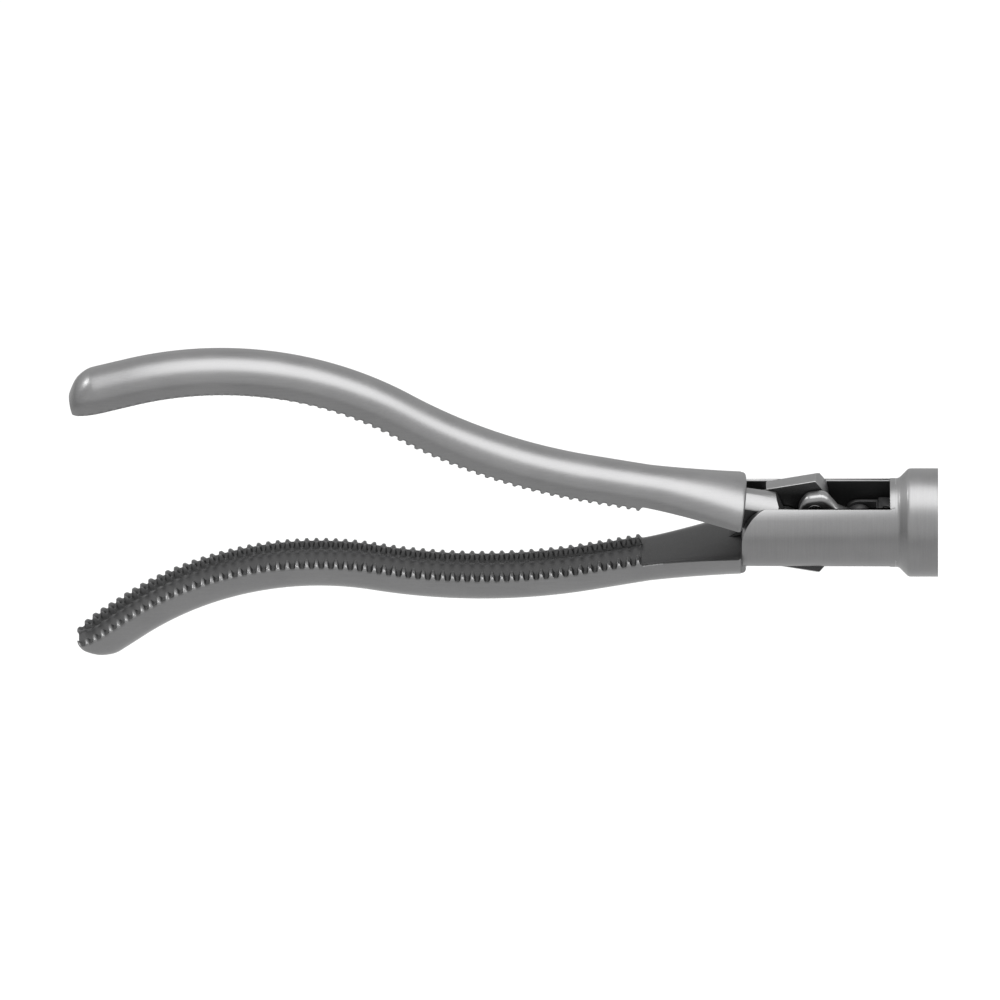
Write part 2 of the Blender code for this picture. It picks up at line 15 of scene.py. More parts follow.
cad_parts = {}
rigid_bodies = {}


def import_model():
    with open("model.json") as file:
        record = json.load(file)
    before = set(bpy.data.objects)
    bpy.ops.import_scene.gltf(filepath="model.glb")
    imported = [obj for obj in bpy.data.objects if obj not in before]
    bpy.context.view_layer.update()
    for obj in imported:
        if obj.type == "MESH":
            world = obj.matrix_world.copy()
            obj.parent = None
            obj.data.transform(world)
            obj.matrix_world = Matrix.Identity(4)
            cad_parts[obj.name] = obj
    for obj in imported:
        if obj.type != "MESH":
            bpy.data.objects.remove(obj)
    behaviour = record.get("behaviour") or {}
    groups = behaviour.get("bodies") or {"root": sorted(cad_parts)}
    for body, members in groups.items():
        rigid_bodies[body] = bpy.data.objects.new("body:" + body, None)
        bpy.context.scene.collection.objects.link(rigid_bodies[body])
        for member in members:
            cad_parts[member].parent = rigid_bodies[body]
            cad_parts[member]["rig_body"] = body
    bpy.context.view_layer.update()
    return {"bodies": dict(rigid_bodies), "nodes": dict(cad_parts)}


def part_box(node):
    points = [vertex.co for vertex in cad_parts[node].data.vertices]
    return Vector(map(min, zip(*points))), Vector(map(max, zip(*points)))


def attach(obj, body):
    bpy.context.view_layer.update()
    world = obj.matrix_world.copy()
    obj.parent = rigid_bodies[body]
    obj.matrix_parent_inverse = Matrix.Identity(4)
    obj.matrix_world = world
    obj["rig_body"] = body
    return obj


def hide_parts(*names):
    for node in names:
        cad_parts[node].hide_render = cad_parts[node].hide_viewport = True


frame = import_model()
kept = set(frame["nodes"].values()) | set(frame["bodies"].values())
for stray in set(bpy.data.objects) - kept:
    bpy.data.objects.remove(stray)

# %% [markdown]
# ## Where things are
# Sizes are in metres, so a tenth of a millimetre is a small number. The places that the CAD knows, such
# as the jaw pivot and the pins of the linkage, are read from the boxes of its nodes. The pivot is the
# best origin for drawing a jaw, because every measure of the real tool is taken from it.

# %% Places read from the frame
MM = 0.001


def centre_of(node):
    """The middle of a CAD node's box."""
    low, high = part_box(node)
    return (low + high) / 2


PIVOT = Vector((centre_of("jaw_pivot_pin").x, 0, 0))
FORK_PIN = centre_of("fork_pin")
UPPER_TAIL_PIN = centre_of("upper_link_pin")
COLLAR_LENGTH = -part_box("shaft_collar")[0].x
COLLAR_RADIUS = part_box("shaft_collar")[1].z
BARREL_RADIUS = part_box("clevis_barrel")[1].z
SLOT_HALF = 2.55 * MM
EAR_REACH = PIVOT.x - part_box("clevis_barrel")[0].x
OPEN_ANGLE = math.radians(10.7)
print("pivot", PIVOT, "fork pin", FORK_PIN, "tail pin", UPPER_TAIL_PIN)

# %% [markdown]
# ## A pen for outlines
# Flat and turned pieces both begin as an outline in the XZ plane. A small pen holds a bmesh and one
# vertex. A straight stroke extrudes that vertex, and an arc spins it about a centre, so the operators
# place every point. Filling the closed outline gives a plate, and spinning it gives a turned piece.

# %% The pen
FINE = 0.0000001


class Pen:
    """Draws a closed outline in the XZ plane with straight strokes and arcs."""

    def __init__(self, x, z):
        self.bm = bmesh.new()
        self.tip = self.bm.verts.new((x, 0, z))

    def to(self, x, z):
        """A straight stroke to a place."""
        self.tip = bmesh.ops.extrude_vert_indiv(self.bm, verts=[self.tip])["verts"][0]
        self.tip.co = (x, 0, z)
        return self

    def around(self, x, z, degrees, steps):
        """An arc about a centre, anticlockwise for a viewer who looks along +Y."""
        turn = {"cent": (x, 0, z), "axis": (0, 1, 0), "angle": -math.radians(degrees), "steps": steps}
        self.tip = bmesh.ops.spin(self.bm, geom=[self.tip], **turn)["geom_last"][0]
        return self

    def closed(self):
        """Joins the last point to the first."""
        ends = [vert for vert in self.bm.verts if len(vert.link_edges) == 1]
        bmesh.ops.contextual_create(self.bm, geom=ends)
        bmesh.ops.remove_doubles(self.bm, verts=self.bm.verts, dist=FINE)
        return self.bm

    def plate(self, y_low, y_high):
        """The outline filled and extruded along Y."""
        bm = self.closed()
        bmesh.ops.translate(bm, verts=bm.verts, vec=(0, y_low, 0))
        face = bmesh.ops.contextual_create(bm, geom=bm.edges[:])["faces"]
        grown = bmesh.ops.extrude_face_region(bm, geom=face)["geom"]
        moved = [item for item in grown if isinstance(item, bmesh.types.BMVert)]
        bmesh.ops.translate(bm, verts=moved, vec=(0, y_high - y_low, 0))
        bmesh.ops.recalc_face_normals(bm, faces=bm.faces)
        return bm

    def turned(self, steps, angle=math.tau):
        """The outline spun about the X axis. A full turn is merged, and less than that gets end faces."""
        bm = self.closed()
        ring = bm.verts[:] + bm.edges[:]
        full = angle == math.tau
        spin = {"cent": (0, 0, 0), "axis": (1, 0, 0), "angle": angle, "steps": steps}
        last = bmesh.ops.spin(bm, geom=ring, use_merge=full, **spin)["geom_last"]
        if not full:
            for end in (ring, last):
                edges = [item for item in end if isinstance(item, bmesh.types.BMEdge)]
                bmesh.ops.contextual_create(bm, geom=edges)
        bmesh.ops.remove_doubles(bm, verts=bm.verts, dist=FINE)
        bmesh.ops.recalc_face_normals(bm, faces=bm.faces)
        return bm


sample = Pen(0, 0).to(MM, 0).to(MM, MM).to(0, MM).plate(0, MM)
print("a square drawn by the pen has", len(sample.faces), "faces as a plate")
sample.free()

# %% [markdown]
# ## Bars, Booleans and rounded edges
# A pin is a cone with equal ends. A Boolean needs objects, so two bmeshes become objects for a moment
# and the evaluated result comes back as a bmesh. Machined steel never has a perfect corner: each sharp
# edge gets a narrow bevel, and the faces of the bevel carry a mark, so that the finish can show them
# rubbed a little brighter. Faces inside the tool get another mark, for painted shade where shadow falls.
# Where two turned pieces meet, the seam stays sharp, or a bright line would show there.

# %% Helpers for solids
WELD = 0.02 * MM
ON_SEAM = 0.01 * MM
SHARP_DEGREES = 32
TURNS = {"X": Matrix.Rotation(math.pi / 2, 4, "Y"), "Y": Matrix.Rotation(-math.pi / 2, 4, "X")}
TURNS["Z"] = Matrix.Identity(4)


def bar(radius, low, high, axis="Y", sides=64, centre=(0, 0, 0)):
    """A round bar along one axis, from low to high on it, through a centre."""
    bm = bmesh.new()
    middle = Vector(centre)
    middle["XYZ".index(axis)] = (low + high) / 2
    place = Matrix.Translation(middle) @ TURNS[axis]
    size = {"radius1": radius, "radius2": radius, "depth": high - low}
    bmesh.ops.create_cone(bm, cap_ends=True, segments=sides, matrix=place, **size)
    return bm


def box(low, high):
    """A block between its lowest and highest corners."""
    bm = bmesh.new()
    low, high = Vector(low), Vector(high)
    place = Matrix.Translation((low + high) / 2) @ Matrix.Diagonal((*(high - low), 1))
    bmesh.ops.create_cube(bm, size=1, matrix=place)
    return bm


def as_object(name, bm):
    """A bmesh as an object of the scene. The bmesh is used up."""
    mesh = bpy.data.meshes.new(name)
    bm.to_mesh(mesh)
    bm.free()
    obj = bpy.data.objects.new(name, mesh)
    bpy.context.scene.collection.objects.link(obj)
    return obj


def boolean(bm, tool, operation="DIFFERENCE"):
    """The first shape cut, joined or trimmed by the second."""
    target, other = as_object("target", bm), as_object("tool", tool)
    modifier = target.modifiers.new("boolean", "BOOLEAN")
    modifier.operation = operation
    modifier.solver = "EXACT"
    modifier.object = other
    graph = bpy.context.evaluated_depsgraph_get()
    made = bmesh.new()
    made.from_mesh(target.evaluated_get(graph).to_mesh())
    for obj in (target, other):
        bpy.data.meshes.remove(obj.data)
    bmesh.ops.remove_doubles(made, verts=made.verts, dist=FINE)
    return made


def soften(bm, width, segments=2, seam=math.inf):
    """Bevels the sharp edges, but for those in the plane of a seam, and marks the new faces as rubbed."""
    bmesh.ops.remove_doubles(bm, verts=bm.verts, dist=WELD)
    bmesh.ops.dissolve_degenerate(bm, edges=bm.edges, dist=FINE)
    rubbed = bm.loops.layers.float.get("rubbed") or bm.loops.layers.float.new("rubbed")
    sharp = [edge for edge in bm.edges if edge.calc_face_angle(0) > math.radians(SHARP_DEGREES)]
    sharp = [edge for edge in sharp if any(abs(vert.co.x - seam) > ON_SEAM for vert in edge.verts)]
    shape = {"offset": width, "segments": segments, "profile": 0.5, "material": -1}
    for face in bmesh.ops.bevel(bm, geom=sharp, affect="EDGES", **shape)["faces"]:
        for loop in face.loops:
            loop[rubbed] = 1.0
    return bm


def shade_inside(bm, hidden):
    """Marks the faces that lie inside the tool for painted shade, a near-black tone where shadow falls."""
    painted_shade = bm.loops.layers.float.get("painted_shade") or bm.loops.layers.float.new("painted_shade")
    bm.normal_update()
    for face in filter(hidden, bm.faces):
        for loop in face.loops:
            loop[painted_shade] = 1.0
    return bm


def turned_over(bm):
    """The lower jaw's side of the tool is its upper side turned over about the shaft's axis."""
    other = bm.copy()
    bmesh.ops.rotate(other, verts=other.verts, cent=(0, 0, 0), matrix=Matrix.Rotation(math.pi, 3, "X"))
    return other


sample = soften(box((0, 0, 0), (MM, MM, MM)), 0.1 * MM)
print("a softened cube has", len(sample.faces), "faces")
sample.free()

# %% [markdown]
# ## Shader maths as plain expressions
# A finish is a graph of nodes. One small class wraps a socket and turns +, - and * into Math nodes, so a
# mask can be written as `1 - mask`. Every other node comes from one method, which sets the node's own
# settings first and then its inputs.

# %% Node helpers


class Signal:
    """One output socket. Arithmetic on it adds Math nodes."""

    def __init__(self, finish, socket):
        self.finish = finish
        self.socket = socket

    def math(self, operation, *values):
        """A Math node on this signal and others, or on numbers."""
        inputs = dict(enumerate(values))
        return self.finish.node("ShaderNodeMath", {"operation": operation}, inputs)

    def __add__(self, other):
        return self.math("ADD", self, other)

    def __radd__(self, other):
        return self.math("ADD", other, self)

    def __sub__(self, other):
        return self.math("SUBTRACT", self, other)

    def __rsub__(self, other):
        return self.math("SUBTRACT", other, self)

    def __mul__(self, other):
        return self.math("MULTIPLY", self, other)

    def __rmul__(self, other):
        return self.math("MULTIPLY", other, self)

    def clamped(self):
        """Held between 0 and 1."""
        return self.math("MINIMUM", self.math("MAXIMUM", self, 0.0), 1.0)


class Finish:
    """A material under construction. Values that are even all over are set on its shader."""

    def __init__(self, name, **even):
        self.material = bpy.data.materials.new(name)
        self.material.use_nodes = True
        self.tree = self.material.node_tree
        self.shader = self.tree.nodes["Principled BSDF"]
        self.set(self.shader, {key.replace("_", " "): value for key, value in even.items()})

    def set(self, node, inputs):
        """Links a signal to an input, or writes a value into it."""
        for key, value in inputs.items():
            if isinstance(value, Signal):
                self.tree.links.new(value.socket, node.inputs[key])
            else:
                node.inputs[key].default_value = value

    def node(self, kind, settings, inputs, output=0):
        """A new node with its settings and inputs, as the signal of one output."""
        made = self.tree.nodes.new(kind)
        for key, value in settings.items():
            setattr(made, key, value)
        self.set(made, inputs)
        return Signal(self, made.outputs[output])

    def noise(self, scale, stretch=(1, 1, 1), detail=3.0):
        """Noise of so many waves to the metre, finer along the axes that are stretched most."""
        place = self.node("ShaderNodeTexCoord", {}, {}, "Object")
        moved = self.node("ShaderNodeMapping", {}, {"Vector": place, "Scale": stretch})
        return self.node("ShaderNodeTexNoise", {}, {"Vector": moved, "Scale": scale, "Detail": detail})

    def mark(self, name):
        """A mark that the mesh carries on its corners."""
        return self.node("ShaderNodeAttribute", {"attribute_name": name}, {}, "Fac")

    def mixed(self, factor, first, second):
        """A colour between two colours, which are three numbers or another node's output."""
        pair = [colour if isinstance(colour, Signal) else (*colour, 1) for colour in (first, second)]
        return self.node("ShaderNodeMix", {"data_type": "RGBA"}, {0: factor, 6: pair[0], 7: pair[1]}, 2)

    def bump(self, height, depth):
        """Normals that lean as if the surface rose and fell by a depth in metres."""
        return self.node("ShaderNodeBump", {}, {"Height": height, "Distance": depth})

    def show(self, **inputs):
        """Sends signals to the shader and hands over the material."""
        self.set(self.shader, {key.replace("_", " "): value for key, value in inputs.items()})
        return self.material


# %% [markdown]
# ## Satin stainless steel
# The jaws, barrel, collar and links of the real tool are stainless steel with a matt, glare-free finish:
# fine beads are blown at it after the brushing. It could be one roughness value, but then it looks
# like plastic. Three scales are layered instead: soft clouds a few millimetres wide, streaks left by the
# brushing, and a grain just under a tenth of a millimetre. The rubbed mark makes edges brighter and
# smoother. The other mark paints shade: it swaps the colour for a near-black tone where shadow falls,
# between the teeth and inside the slot.

# %% Satin steel
GRAIN = 11000.0
CLOUDS = 260.0
CLOUD_WEIGHT = 0.55
STREAK_WEIGHT = 0.5
GRAIN_WEIGHT = 0.35
RUBBED_LIGHTER = 0.2
RUBBED_SMOOTHER = 0.06
PAINTED_SHADE_ROUGHER = 0.08
GRAIN_DEPTH = 0.0016 * MM
# Near-black tones that paint shade on the faces inside the tool
PAINTED_SHADE_TONES = ((0.024, 0.024, 0.025), (0.07, 0.07, 0.07))
SATIN_DARK = (0.165, 0.165, 0.167)
SATIN_LIGHT = (0.245, 0.245, 0.245)
ALONG_JAW = (350.0, 9000.0, 9000.0)
AROUND_SHAFT = (9000.0, 350.0, 350.0)


def satin(name, streaks, dark, light, roughness, coarse=0.11):
    """A matt steel, with streaks drawn out along the axes whose stretch is small."""
    finish = Finish(name, Metallic=1.0)
    clouds = finish.noise(CLOUDS)
    lines = finish.noise(1.0, streaks, 4.0)
    grain = finish.noise(GRAIN, detail=2.0)
    rubbed = finish.mark("rubbed")
    painted_shade = finish.mark("painted_shade")
    tone = 0.5 + (clouds - 0.5) * CLOUD_WEIGHT + (lines - 0.5) * STREAK_WEIGHT
    tone = tone + (grain - 0.5) * GRAIN_WEIGHT + rubbed * RUBBED_LIGHTER
    colour = finish.mixed(tone.clamped(), dark, light)
    # Painted shade: faces marked as inside the tool take a near-black tone
    colour = finish.mixed(painted_shade.clamped(), colour, finish.mixed(grain, *PAINTED_SHADE_TONES))
    rough = roughness + (clouds - 0.5) * coarse + (lines - 0.5) * coarse
    rough = rough - rubbed * RUBBED_SMOOTHER + painted_shade * PAINTED_SHADE_ROUGHER
    relief = finish.bump(lines * 0.6 + grain, GRAIN_DEPTH)
    return finish.show(Base_Color=colour, Roughness=rough, Normal=relief)


satin_jaw = satin("satin_jaw", ALONG_JAW, SATIN_DARK, SATIN_LIGHT, 0.36)
satin_turned = satin("satin_turned", AROUND_SHAFT, SATIN_DARK, SATIN_LIGHT, 0.38)
print("satin steels:", satin_jaw.name, satin_turned.name)

# %% [markdown]
# ## The small parts' finishes
# Pins and rod are ground bright, the fork is near-black as painted shade, the ring is spring steel, and
# the bush that guides the rod is a bearing plastic. All but the plastic reuse the layered steel with
# other tones. The plastic isn't metal, so it gets its own short graph of flecks on a warm ground.

# %% Bright, dark and spring steel, and the bearing plastic
bright_steel = satin("ground_steel", AROUND_SHAFT, (0.34, 0.34, 0.34), (0.48, 0.48, 0.48), 0.2, 0.05)
# The fork's near-black is painted shade, for its place deep in the slot.
dark_steel = satin("shade_dark_steel", ALONG_JAW, (0.03, 0.03, 0.031), (0.065, 0.065, 0.065), 0.58)
spring_steel = satin("spring_steel", AROUND_SHAFT, (0.10, 0.10, 0.11), (0.19, 0.19, 0.2), 0.3)


def bearing_plastic():
    finish = Finish("bearing_plastic", Metallic=0.0)
    flecks = finish.noise(5200.0)
    clouds = finish.noise(700.0)
    colour = finish.mixed(flecks * 0.6 + clouds * 0.4, (0.42, 0.36, 0.26), (0.62, 0.56, 0.44))
    relief = finish.bump(flecks, 0.003 * MM)
    return finish.show(Base_Color=colour, Roughness=0.42 + clouds * 0.2, Normal=relief)


bush_plastic = bearing_plastic()
print("materials so far:", len(bpy.data.materials))

# %% [markdown]
# ## Putting a piece into the scene
# Each piece stands for one CAD node, rides on that node's body and gets the material it is given. Smooth
# shading with a wide angle suits meshes whose real corners have bevels. The jaws get a wider angle
# still, because the roots of their teeth would otherwise break into facets.

# %% Placing a piece
NODE_BODY = {obj.name: obj["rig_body"] for obj in frame["nodes"].values()}
SMOOTH_DEGREES = 50
JAW_SMOOTH_DEGREES = 65


def place(name, bm, material, slot, node, degrees=SMOOTH_DEGREES):
    bmesh.ops.recalc_face_normals(bm, faces=bm.faces)
    piece = as_object(name, bm)
    piece.data.shade_smooth()
    piece.data.set_sharp_from_angle(angle=math.radians(degrees))
    piece.data.materials.clear()
    piece.data.materials.append(material)
    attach(piece, NODE_BODY[node])
    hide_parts(node)
    print(f"{name}: {len(piece.data.polygons)} faces on {NODE_BODY[node]}")
    return piece


print("nodes to dress:", len(NODE_BODY))

# %% [markdown]
# ## The line of the bite
# Seen from the side a jaw is an S: straight from the pivot, a long rise, a tighter fall and a straight
# tip. The real jaw is bent from a straight forging, so the mesh is lofted along this line. A short
# function walks the line and gives a place and a slope for any distance from the pivot.

# %% Walk along the bite
STRAIGHT = 18.5 * MM
RISE_RADIUS = 51.5 * MM
RISE_ANGLE = math.radians(21.3)
FALL_RADIUS = 30.0 * MM
FALL_ANGLE = math.radians(47.3)
TIP_STRAIGHT = 5.9 * MM
JAW_LENGTH = STRAIGHT + RISE_RADIUS * RISE_ANGLE + FALL_RADIUS * FALL_ANGLE + TIP_STRAIGHT


def bite_line(distance):
    """Where the bite runs at a distance from the pivot, with the jaw shut: x, z and slope."""
    x, z, slope = 0.0, 0.0, 0.0
    bends = ((STRAIGHT, 0), (RISE_RADIUS * RISE_ANGLE, 1 / RISE_RADIUS))
    bends += ((FALL_RADIUS * FALL_ANGLE, -1 / FALL_RADIUS), (math.inf, 0))
    for length, bend in bends:
        step = min(distance, length)
        before, slope = slope, slope + step * bend
        x -= (math.sin(slope) - math.sin(before)) / bend if bend else step * math.cos(slope)
        z += (math.cos(before) - math.cos(slope)) / bend if bend else step * math.sin(slope)
        distance -= step
    return x, z, slope


print("jaw length in mm:", round(JAW_LENGTH / MM, 2))
print("its tip from the pivot in mm:", [round(value / MM, 1) for value in bite_line(JAW_LENGTH)[:2]])

# %% [markdown]
# ## The jaw's section
# Across the jaw runs a smooth crown on the back, two walls, and on the bite side two rows of teeth with
# an open groove between them. Near the barrel the section flares out, and there the bite side is a
# plain flat. Towards the tip the teeth get smaller, the groove closes and the nose rounds off. In the
# photograph the near row's notches fade out before the tip, while the far row keeps them, and the lower
# jaw ends a little shorter than the upper one.

# %% Section values
JAW_HALF = 2.6 * MM
JAW_DEPTH = 3.35 * MM
WALL_DEPTH = 1.2 * MM
CROWN_STEPS = 12
LENGTHS = {1: JAW_LENGTH + 0.08 * MM, -1: JAW_LENGTH - 0.40 * MM}

# The base, where the jaw flares towards the barrel
BASE_REAR = 4.05 * MM
BASE_HALF = 4.35 * MM
BASE_DEPTH = 3.75 * MM
BASE_WALL = 0.95 * MM
BASE_FLAT = 0.62 * MM
BASE_RIM = BASE_FLAT + 0.1 * MM
BASE_ROUND = 0.40 * MM
FLARE_POWER = 1.44

# Teeth and groove
TEETH_START = 13.2 * MM
TEETH = round((JAW_LENGTH - TEETH_START) / (0.9 * MM))
PITCH = (JAW_LENGTH - TEETH_START) / TEETH
BITE_GAP = 0.04 * MM
TOOTH_HEIGHT = 0.55 * MM
TOOTH_LAND = 0.72 * MM
TOOTH_ROUND = 0.44 * MM
TOOTH_ROUND_AT_TIP = 0.72 * MM
CREST_END = 0.37
CREST_SLOPE = 0.27
RIM_ON_CREST = 0.36 * MM
RIM_AT_ROOT = 0.52 * MM
FAR_RIM_AT_ROOT = 0.57 * MM
FLOOR_DEPTH = 0.79 * MM
GROOVE_WALL = 0.16 * MM
LAND_ROUND = 0.12 * MM

# What changes towards the tip, and how far from the tip it starts
TEETH_SHRINK_FROM = 26 * MM
LEAST_TOOTH = 0.75
NOTCHES_END = 17 * MM
NOTCHES_FADE = 13 * MM
GROOVE_CLOSES_FROM = 1.3 * MM
CLOSED_FLOOR = 0.30 * MM
CLOSED_TOOTH = 0.5
TIP_ROUND = 3.1 * MM
TIP_WIDTH = 0.52
TIP_DEPTH = 0.32
NOSE = 2.7 * MM
NOSE_POWER = 1.8
print(TEETH, "teeth in a row, one every", round(PITCH / MM, 3), "mm")

# %% [markdown]
# ## From values to points
# One function gives half of the outline at any distance, always with the same number of points, so that
# neighbouring sections join with quads. Each point also carries the two marks: rubbed wear and painted
# shade. A small table says how much painted shade each place gets on the base, on a tooth's crest and
# at its root, and the function blends between the three.

# %% Half of the section
# How much shade is painted at each place: on the base, on a crest, at a root.
PAINTED_SHADE_SHARES = {"floor": (0.9, 0.8, 0.8), "groove": (0.9, 1.0, 1.0), "land": (0.9, 0.85, 1.0)}
PAINTED_SHADE_SHARES |= {"edge": (0.85, 0.5, 1.0), "shoulder": (0.5, 0.12, 1.0), "flank": (0.25, 0.1, 1.0)}
PAINTED_SHADE_SHARES["rim"] = (0.0, 0.0, 0.5)
RUBBED = {"shoulder": 0.4, "flank": 0.2}


def blend(share, start, end):
    return start + (end - start) * share


def smooth(value):
    """0 below 0, 1 above 1, and a soft S between."""
    value = min(1.0, max(0.0, value))
    return value * value * (3 - 2 * value)


def tooth_height(distance):
    """0 at the root between two teeth and 1 on a tooth's crest."""
    if distance <= TEETH_START:
        return 0.0
    off_crest = abs((distance - TEETH_START) / PITCH % 1 - 0.5)
    return smooth((CREST_END - off_crest) / CREST_SLOPE)


def half_section(distance, side, near):
    """Half of the outline at a distance from the pivot: (across, away from the bite, rubbed, painted
    shade).
    """
    share = min(1.0, (distance - BASE_REAR) / (TEETH_START - BASE_REAR))
    half = blend((1 - share) ** FLARE_POWER, JAW_HALF, BASE_HALF)
    depth = blend(1 - share, JAW_DEPTH, BASE_DEPTH)
    wall = blend(1 - share, WALL_DEPTH, BASE_WALL)
    behind = 1 - min(1.0, (distance - BASE_REAR) / BASE_ROUND)
    inset = BASE_ROUND * (1 - math.sqrt(1 - behind**2))

    # Teeth, groove and rim
    height = tooth_height(distance)
    groove = smooth((distance - TEETH_START) / (PITCH / 2))
    to_tip = LENGTHS[side] - distance
    size = blend(smooth(to_tip / TEETH_SHRINK_FROM), LEAST_TOOTH, 1.0)
    closed = smooth(1 - to_tip / GROOVE_CLOSES_FROM)
    floor = blend(closed, blend(groove, BASE_FLAT, FLOOR_DEPTH), CLOSED_FLOOR)
    root = blend(groove, BASE_FLAT, BITE_GAP + TOOTH_HEIGHT * blend(closed, size, CLOSED_TOOTH))
    top = blend(height, root, BITE_GAP)
    bold = smooth((to_tip - NOTCHES_END) / NOTCHES_FADE) if near else 1.0
    notch = blend(bold, RIM_ON_CREST * size, RIM_AT_ROOT) if near else FAR_RIM_AT_ROOT
    rim = blend(groove, BASE_RIM, blend(height, notch, RIM_ON_CREST * size))

    # The rounded tip
    into_tip = max(0.0, 1 - to_tip / TIP_ROUND)
    full = math.sqrt(max(0.0, 1 - into_tip**2))
    half = (half - inset) * blend(full, TIP_WIDTH, 1.0)
    into_nose = max(0.0, 1 - to_tip / NOSE)
    tall = 1 - into_nose**NOSE_POWER
    depth = floor + (depth - inset - floor) * blend(tall, TIP_DEPTH, 1.0)
    wall = floor + (wall - floor) * blend(tall, TIP_DEPTH, 1.0)

    # The points, from the middle of the bite side round to the middle of the crown
    scale = half / JAW_HALF
    edge = half - blend(bold, TOOTH_ROUND_AT_TIP, TOOTH_ROUND) * scale
    inner = half - (TOOTH_ROUND + TOOTH_LAND) * scale
    bite = [("floor", 0.0, floor), ("floor", inner * 0.5, floor)]
    bite += [("groove", inner - GROOVE_WALL * scale, floor)]
    bite += [("groove", inner - GROOVE_WALL / 2 * scale, blend(0.12, floor, top))]
    bite += [("land", inner, blend(0.85, floor, top)), ("land", inner + LAND_ROUND * scale, top)]
    bite += [("land", (inner + edge) / 2, top), ("edge", edge, top)]
    bite += [("shoulder", blend(0.5, edge, half), blend(0.3, top, rim))]
    bite += [("flank", blend(0.85, edge, half), blend(0.68, top, rim)), ("rim", half, rim)]
    points = []
    for place_name, across, away in bite:
        on_base, on_crest, at_root = PAINTED_SHADE_SHARES[place_name]
        painted_shade = blend(groove, on_base, blend(height, at_root, on_crest))
        points.append((across, away, height * RUBBED.get(place_name, 0), painted_shade))
    points += [(half, blend(0.3, rim, wall), 0, 0), (half, wall, 0, 0)]
    for step in range(1, CROWN_STEPS):
        angle = math.pi / 2 * step / CROWN_STEPS
        points.append((half * math.cos(angle), wall + (depth - wall) * math.sin(angle), 0, 0))
    return points + [(0.0, depth, 0, 0)]


print("points in half a section:", len(half_section(TEETH_START, 1, True)))

# %% [markdown]
# ## Where the sections stand
# The teeth need many sections, closest on their steep flanks, and the plain base needs few. So the
# distances come in groups: a few on the round at the rear, evenly spaced ones on the base, a fixed
# pattern on each tooth, and a last few at the tip.

# %% Stations along the jaw
REAR_STEPS = 5
BASE_STEPS = 28
TOOTH_PHASES = (0.15, 0.21, 0.27, 0.33, 0.40, 0.5, 0.60, 0.67, 0.73, 0.79, 0.85, 1.0)
TIP_GAPS = (0.08 * MM, 0.045 * MM, 0.02 * MM, 0.0)
LAST_TOOTHED = 0.12 * MM


def stations(side):
    """Distances of the sections from the pivot."""
    end = LENGTHS[side]
    turns = [math.pi / 2 * i / REAR_STEPS for i in range(REAR_STEPS + 1)]
    rear = [BASE_REAR + BASE_ROUND * (1 - math.cos(turn)) for turn in turns]
    base = [blend(i / BASE_STEPS, rear[-1], TEETH_START) for i in range(1, BASE_STEPS + 1)]
    toothed = [TEETH_START + (i + phase) * PITCH for i in range(TEETH) for phase in TOOTH_PHASES]
    toothed = [distance for distance in toothed if distance < end - LAST_TOOTHED]
    return rear + base + toothed + [end - gap for gap in TIP_GAPS]


print("sections of the upper and the lower jaw:", len(stations(1)), len(stations(-1)))

# %% [markdown]
# ## Lofting the jaw
# A ring of edges is drawn for the first section, then extruded from station to station with
# `extrude_edge_only`, and each new ring is set to the section that the jaw has there. Extruding keeps the
# order of the points, so no faces have to be worked out. The two ends are filled last. The marks are
# written on the corners of the quads, because a finish reads them there.

# %% Loft a jaw's body, shut


def ring_places(side, distance):
    """The places and marks of one whole section, the far half first."""
    x, z, slope = bite_line(distance)
    whole = half_section(distance, side, False)
    whole += [(-across, *rest) for across, *rest in half_section(distance, side, True)[-2:0:-1]]
    out = Vector((math.sin(slope), 0, math.cos(slope))) * side
    return [(Vector((x, across, z)) + out * away, marks) for across, away, *marks in whole]


def jaw_body(side):
    """The toothed part of a jaw, shut, as one closed skin."""
    bm = bmesh.new()
    layers = [bm.loops.layers.float.new(key) for key in ("rubbed", "painted_shade")]
    marked = {}
    first = [bm.verts.new(spot) for spot, marks in ring_places(side, BASE_REAR)]
    ring = [bm.edges.new(pair) for pair in zip(first, first[1:] + first[:1])]
    ends = [ring]
    verts = first
    for distance in stations(side)[1:]:
        grown = bmesh.ops.extrude_edge_only(bm, edges=ring)["geom"]
        ring = [item for item in grown if isinstance(item, bmesh.types.BMEdge)]
        new = {item for item in grown if isinstance(item, bmesh.types.BMVert)}
        across = ([edge.other_vert(vert) for edge in vert.link_edges] for vert in verts)
        verts = [next(other for other in others if other in new) for others in across]
        for vert, (spot, marks) in zip(verts, ring_places(side, distance)):
            vert.co = spot
            marked[vert] = marks
    ends.append(ring)
    for end in ends:
        bmesh.ops.contextual_create(bm, geom=end)
    rubbed, painted_shade = layers
    for loop in (loop for face in bm.faces for loop in face.loops if len(face.verts) == 4):
        loop[rubbed], loop[painted_shade] = marked.get(loop.vert, (0, 1))
    bmesh.ops.recalc_face_normals(bm, faces=bm.faces)
    return bm


print("points round a whole section:", len(ring_places(1, TEETH_START)))

# %% [markdown]
# ## The tang and its tail
# Behind the base each jaw is a flat plate that turns on the pivot pin. Its tail reaches past the pin to
# the link, and a round scallop lets the other jaw's link swing by. The outline is drawn with the pen,
# then trimmed by a bar, because the real plate is turned to the barrel's round before it is slotted.
# Cutters reach well past a piece, so that a Boolean never meets two faces in one plane.

# %% Tang values
THROUGH = 4 * MM
PIVOT_PIN_RADIUS = 1.1 * MM
LINK_PIN_RADIUS = 0.75 * MM
RUNNING_FIT = 0.05 * MM
PIN_FIT = 0.02 * MM
TANG_OUTER = SLOT_HALF - 0.10 * MM
TANG_INNER = 0.05 * MM
TANG_EDGE = 0.09 * MM

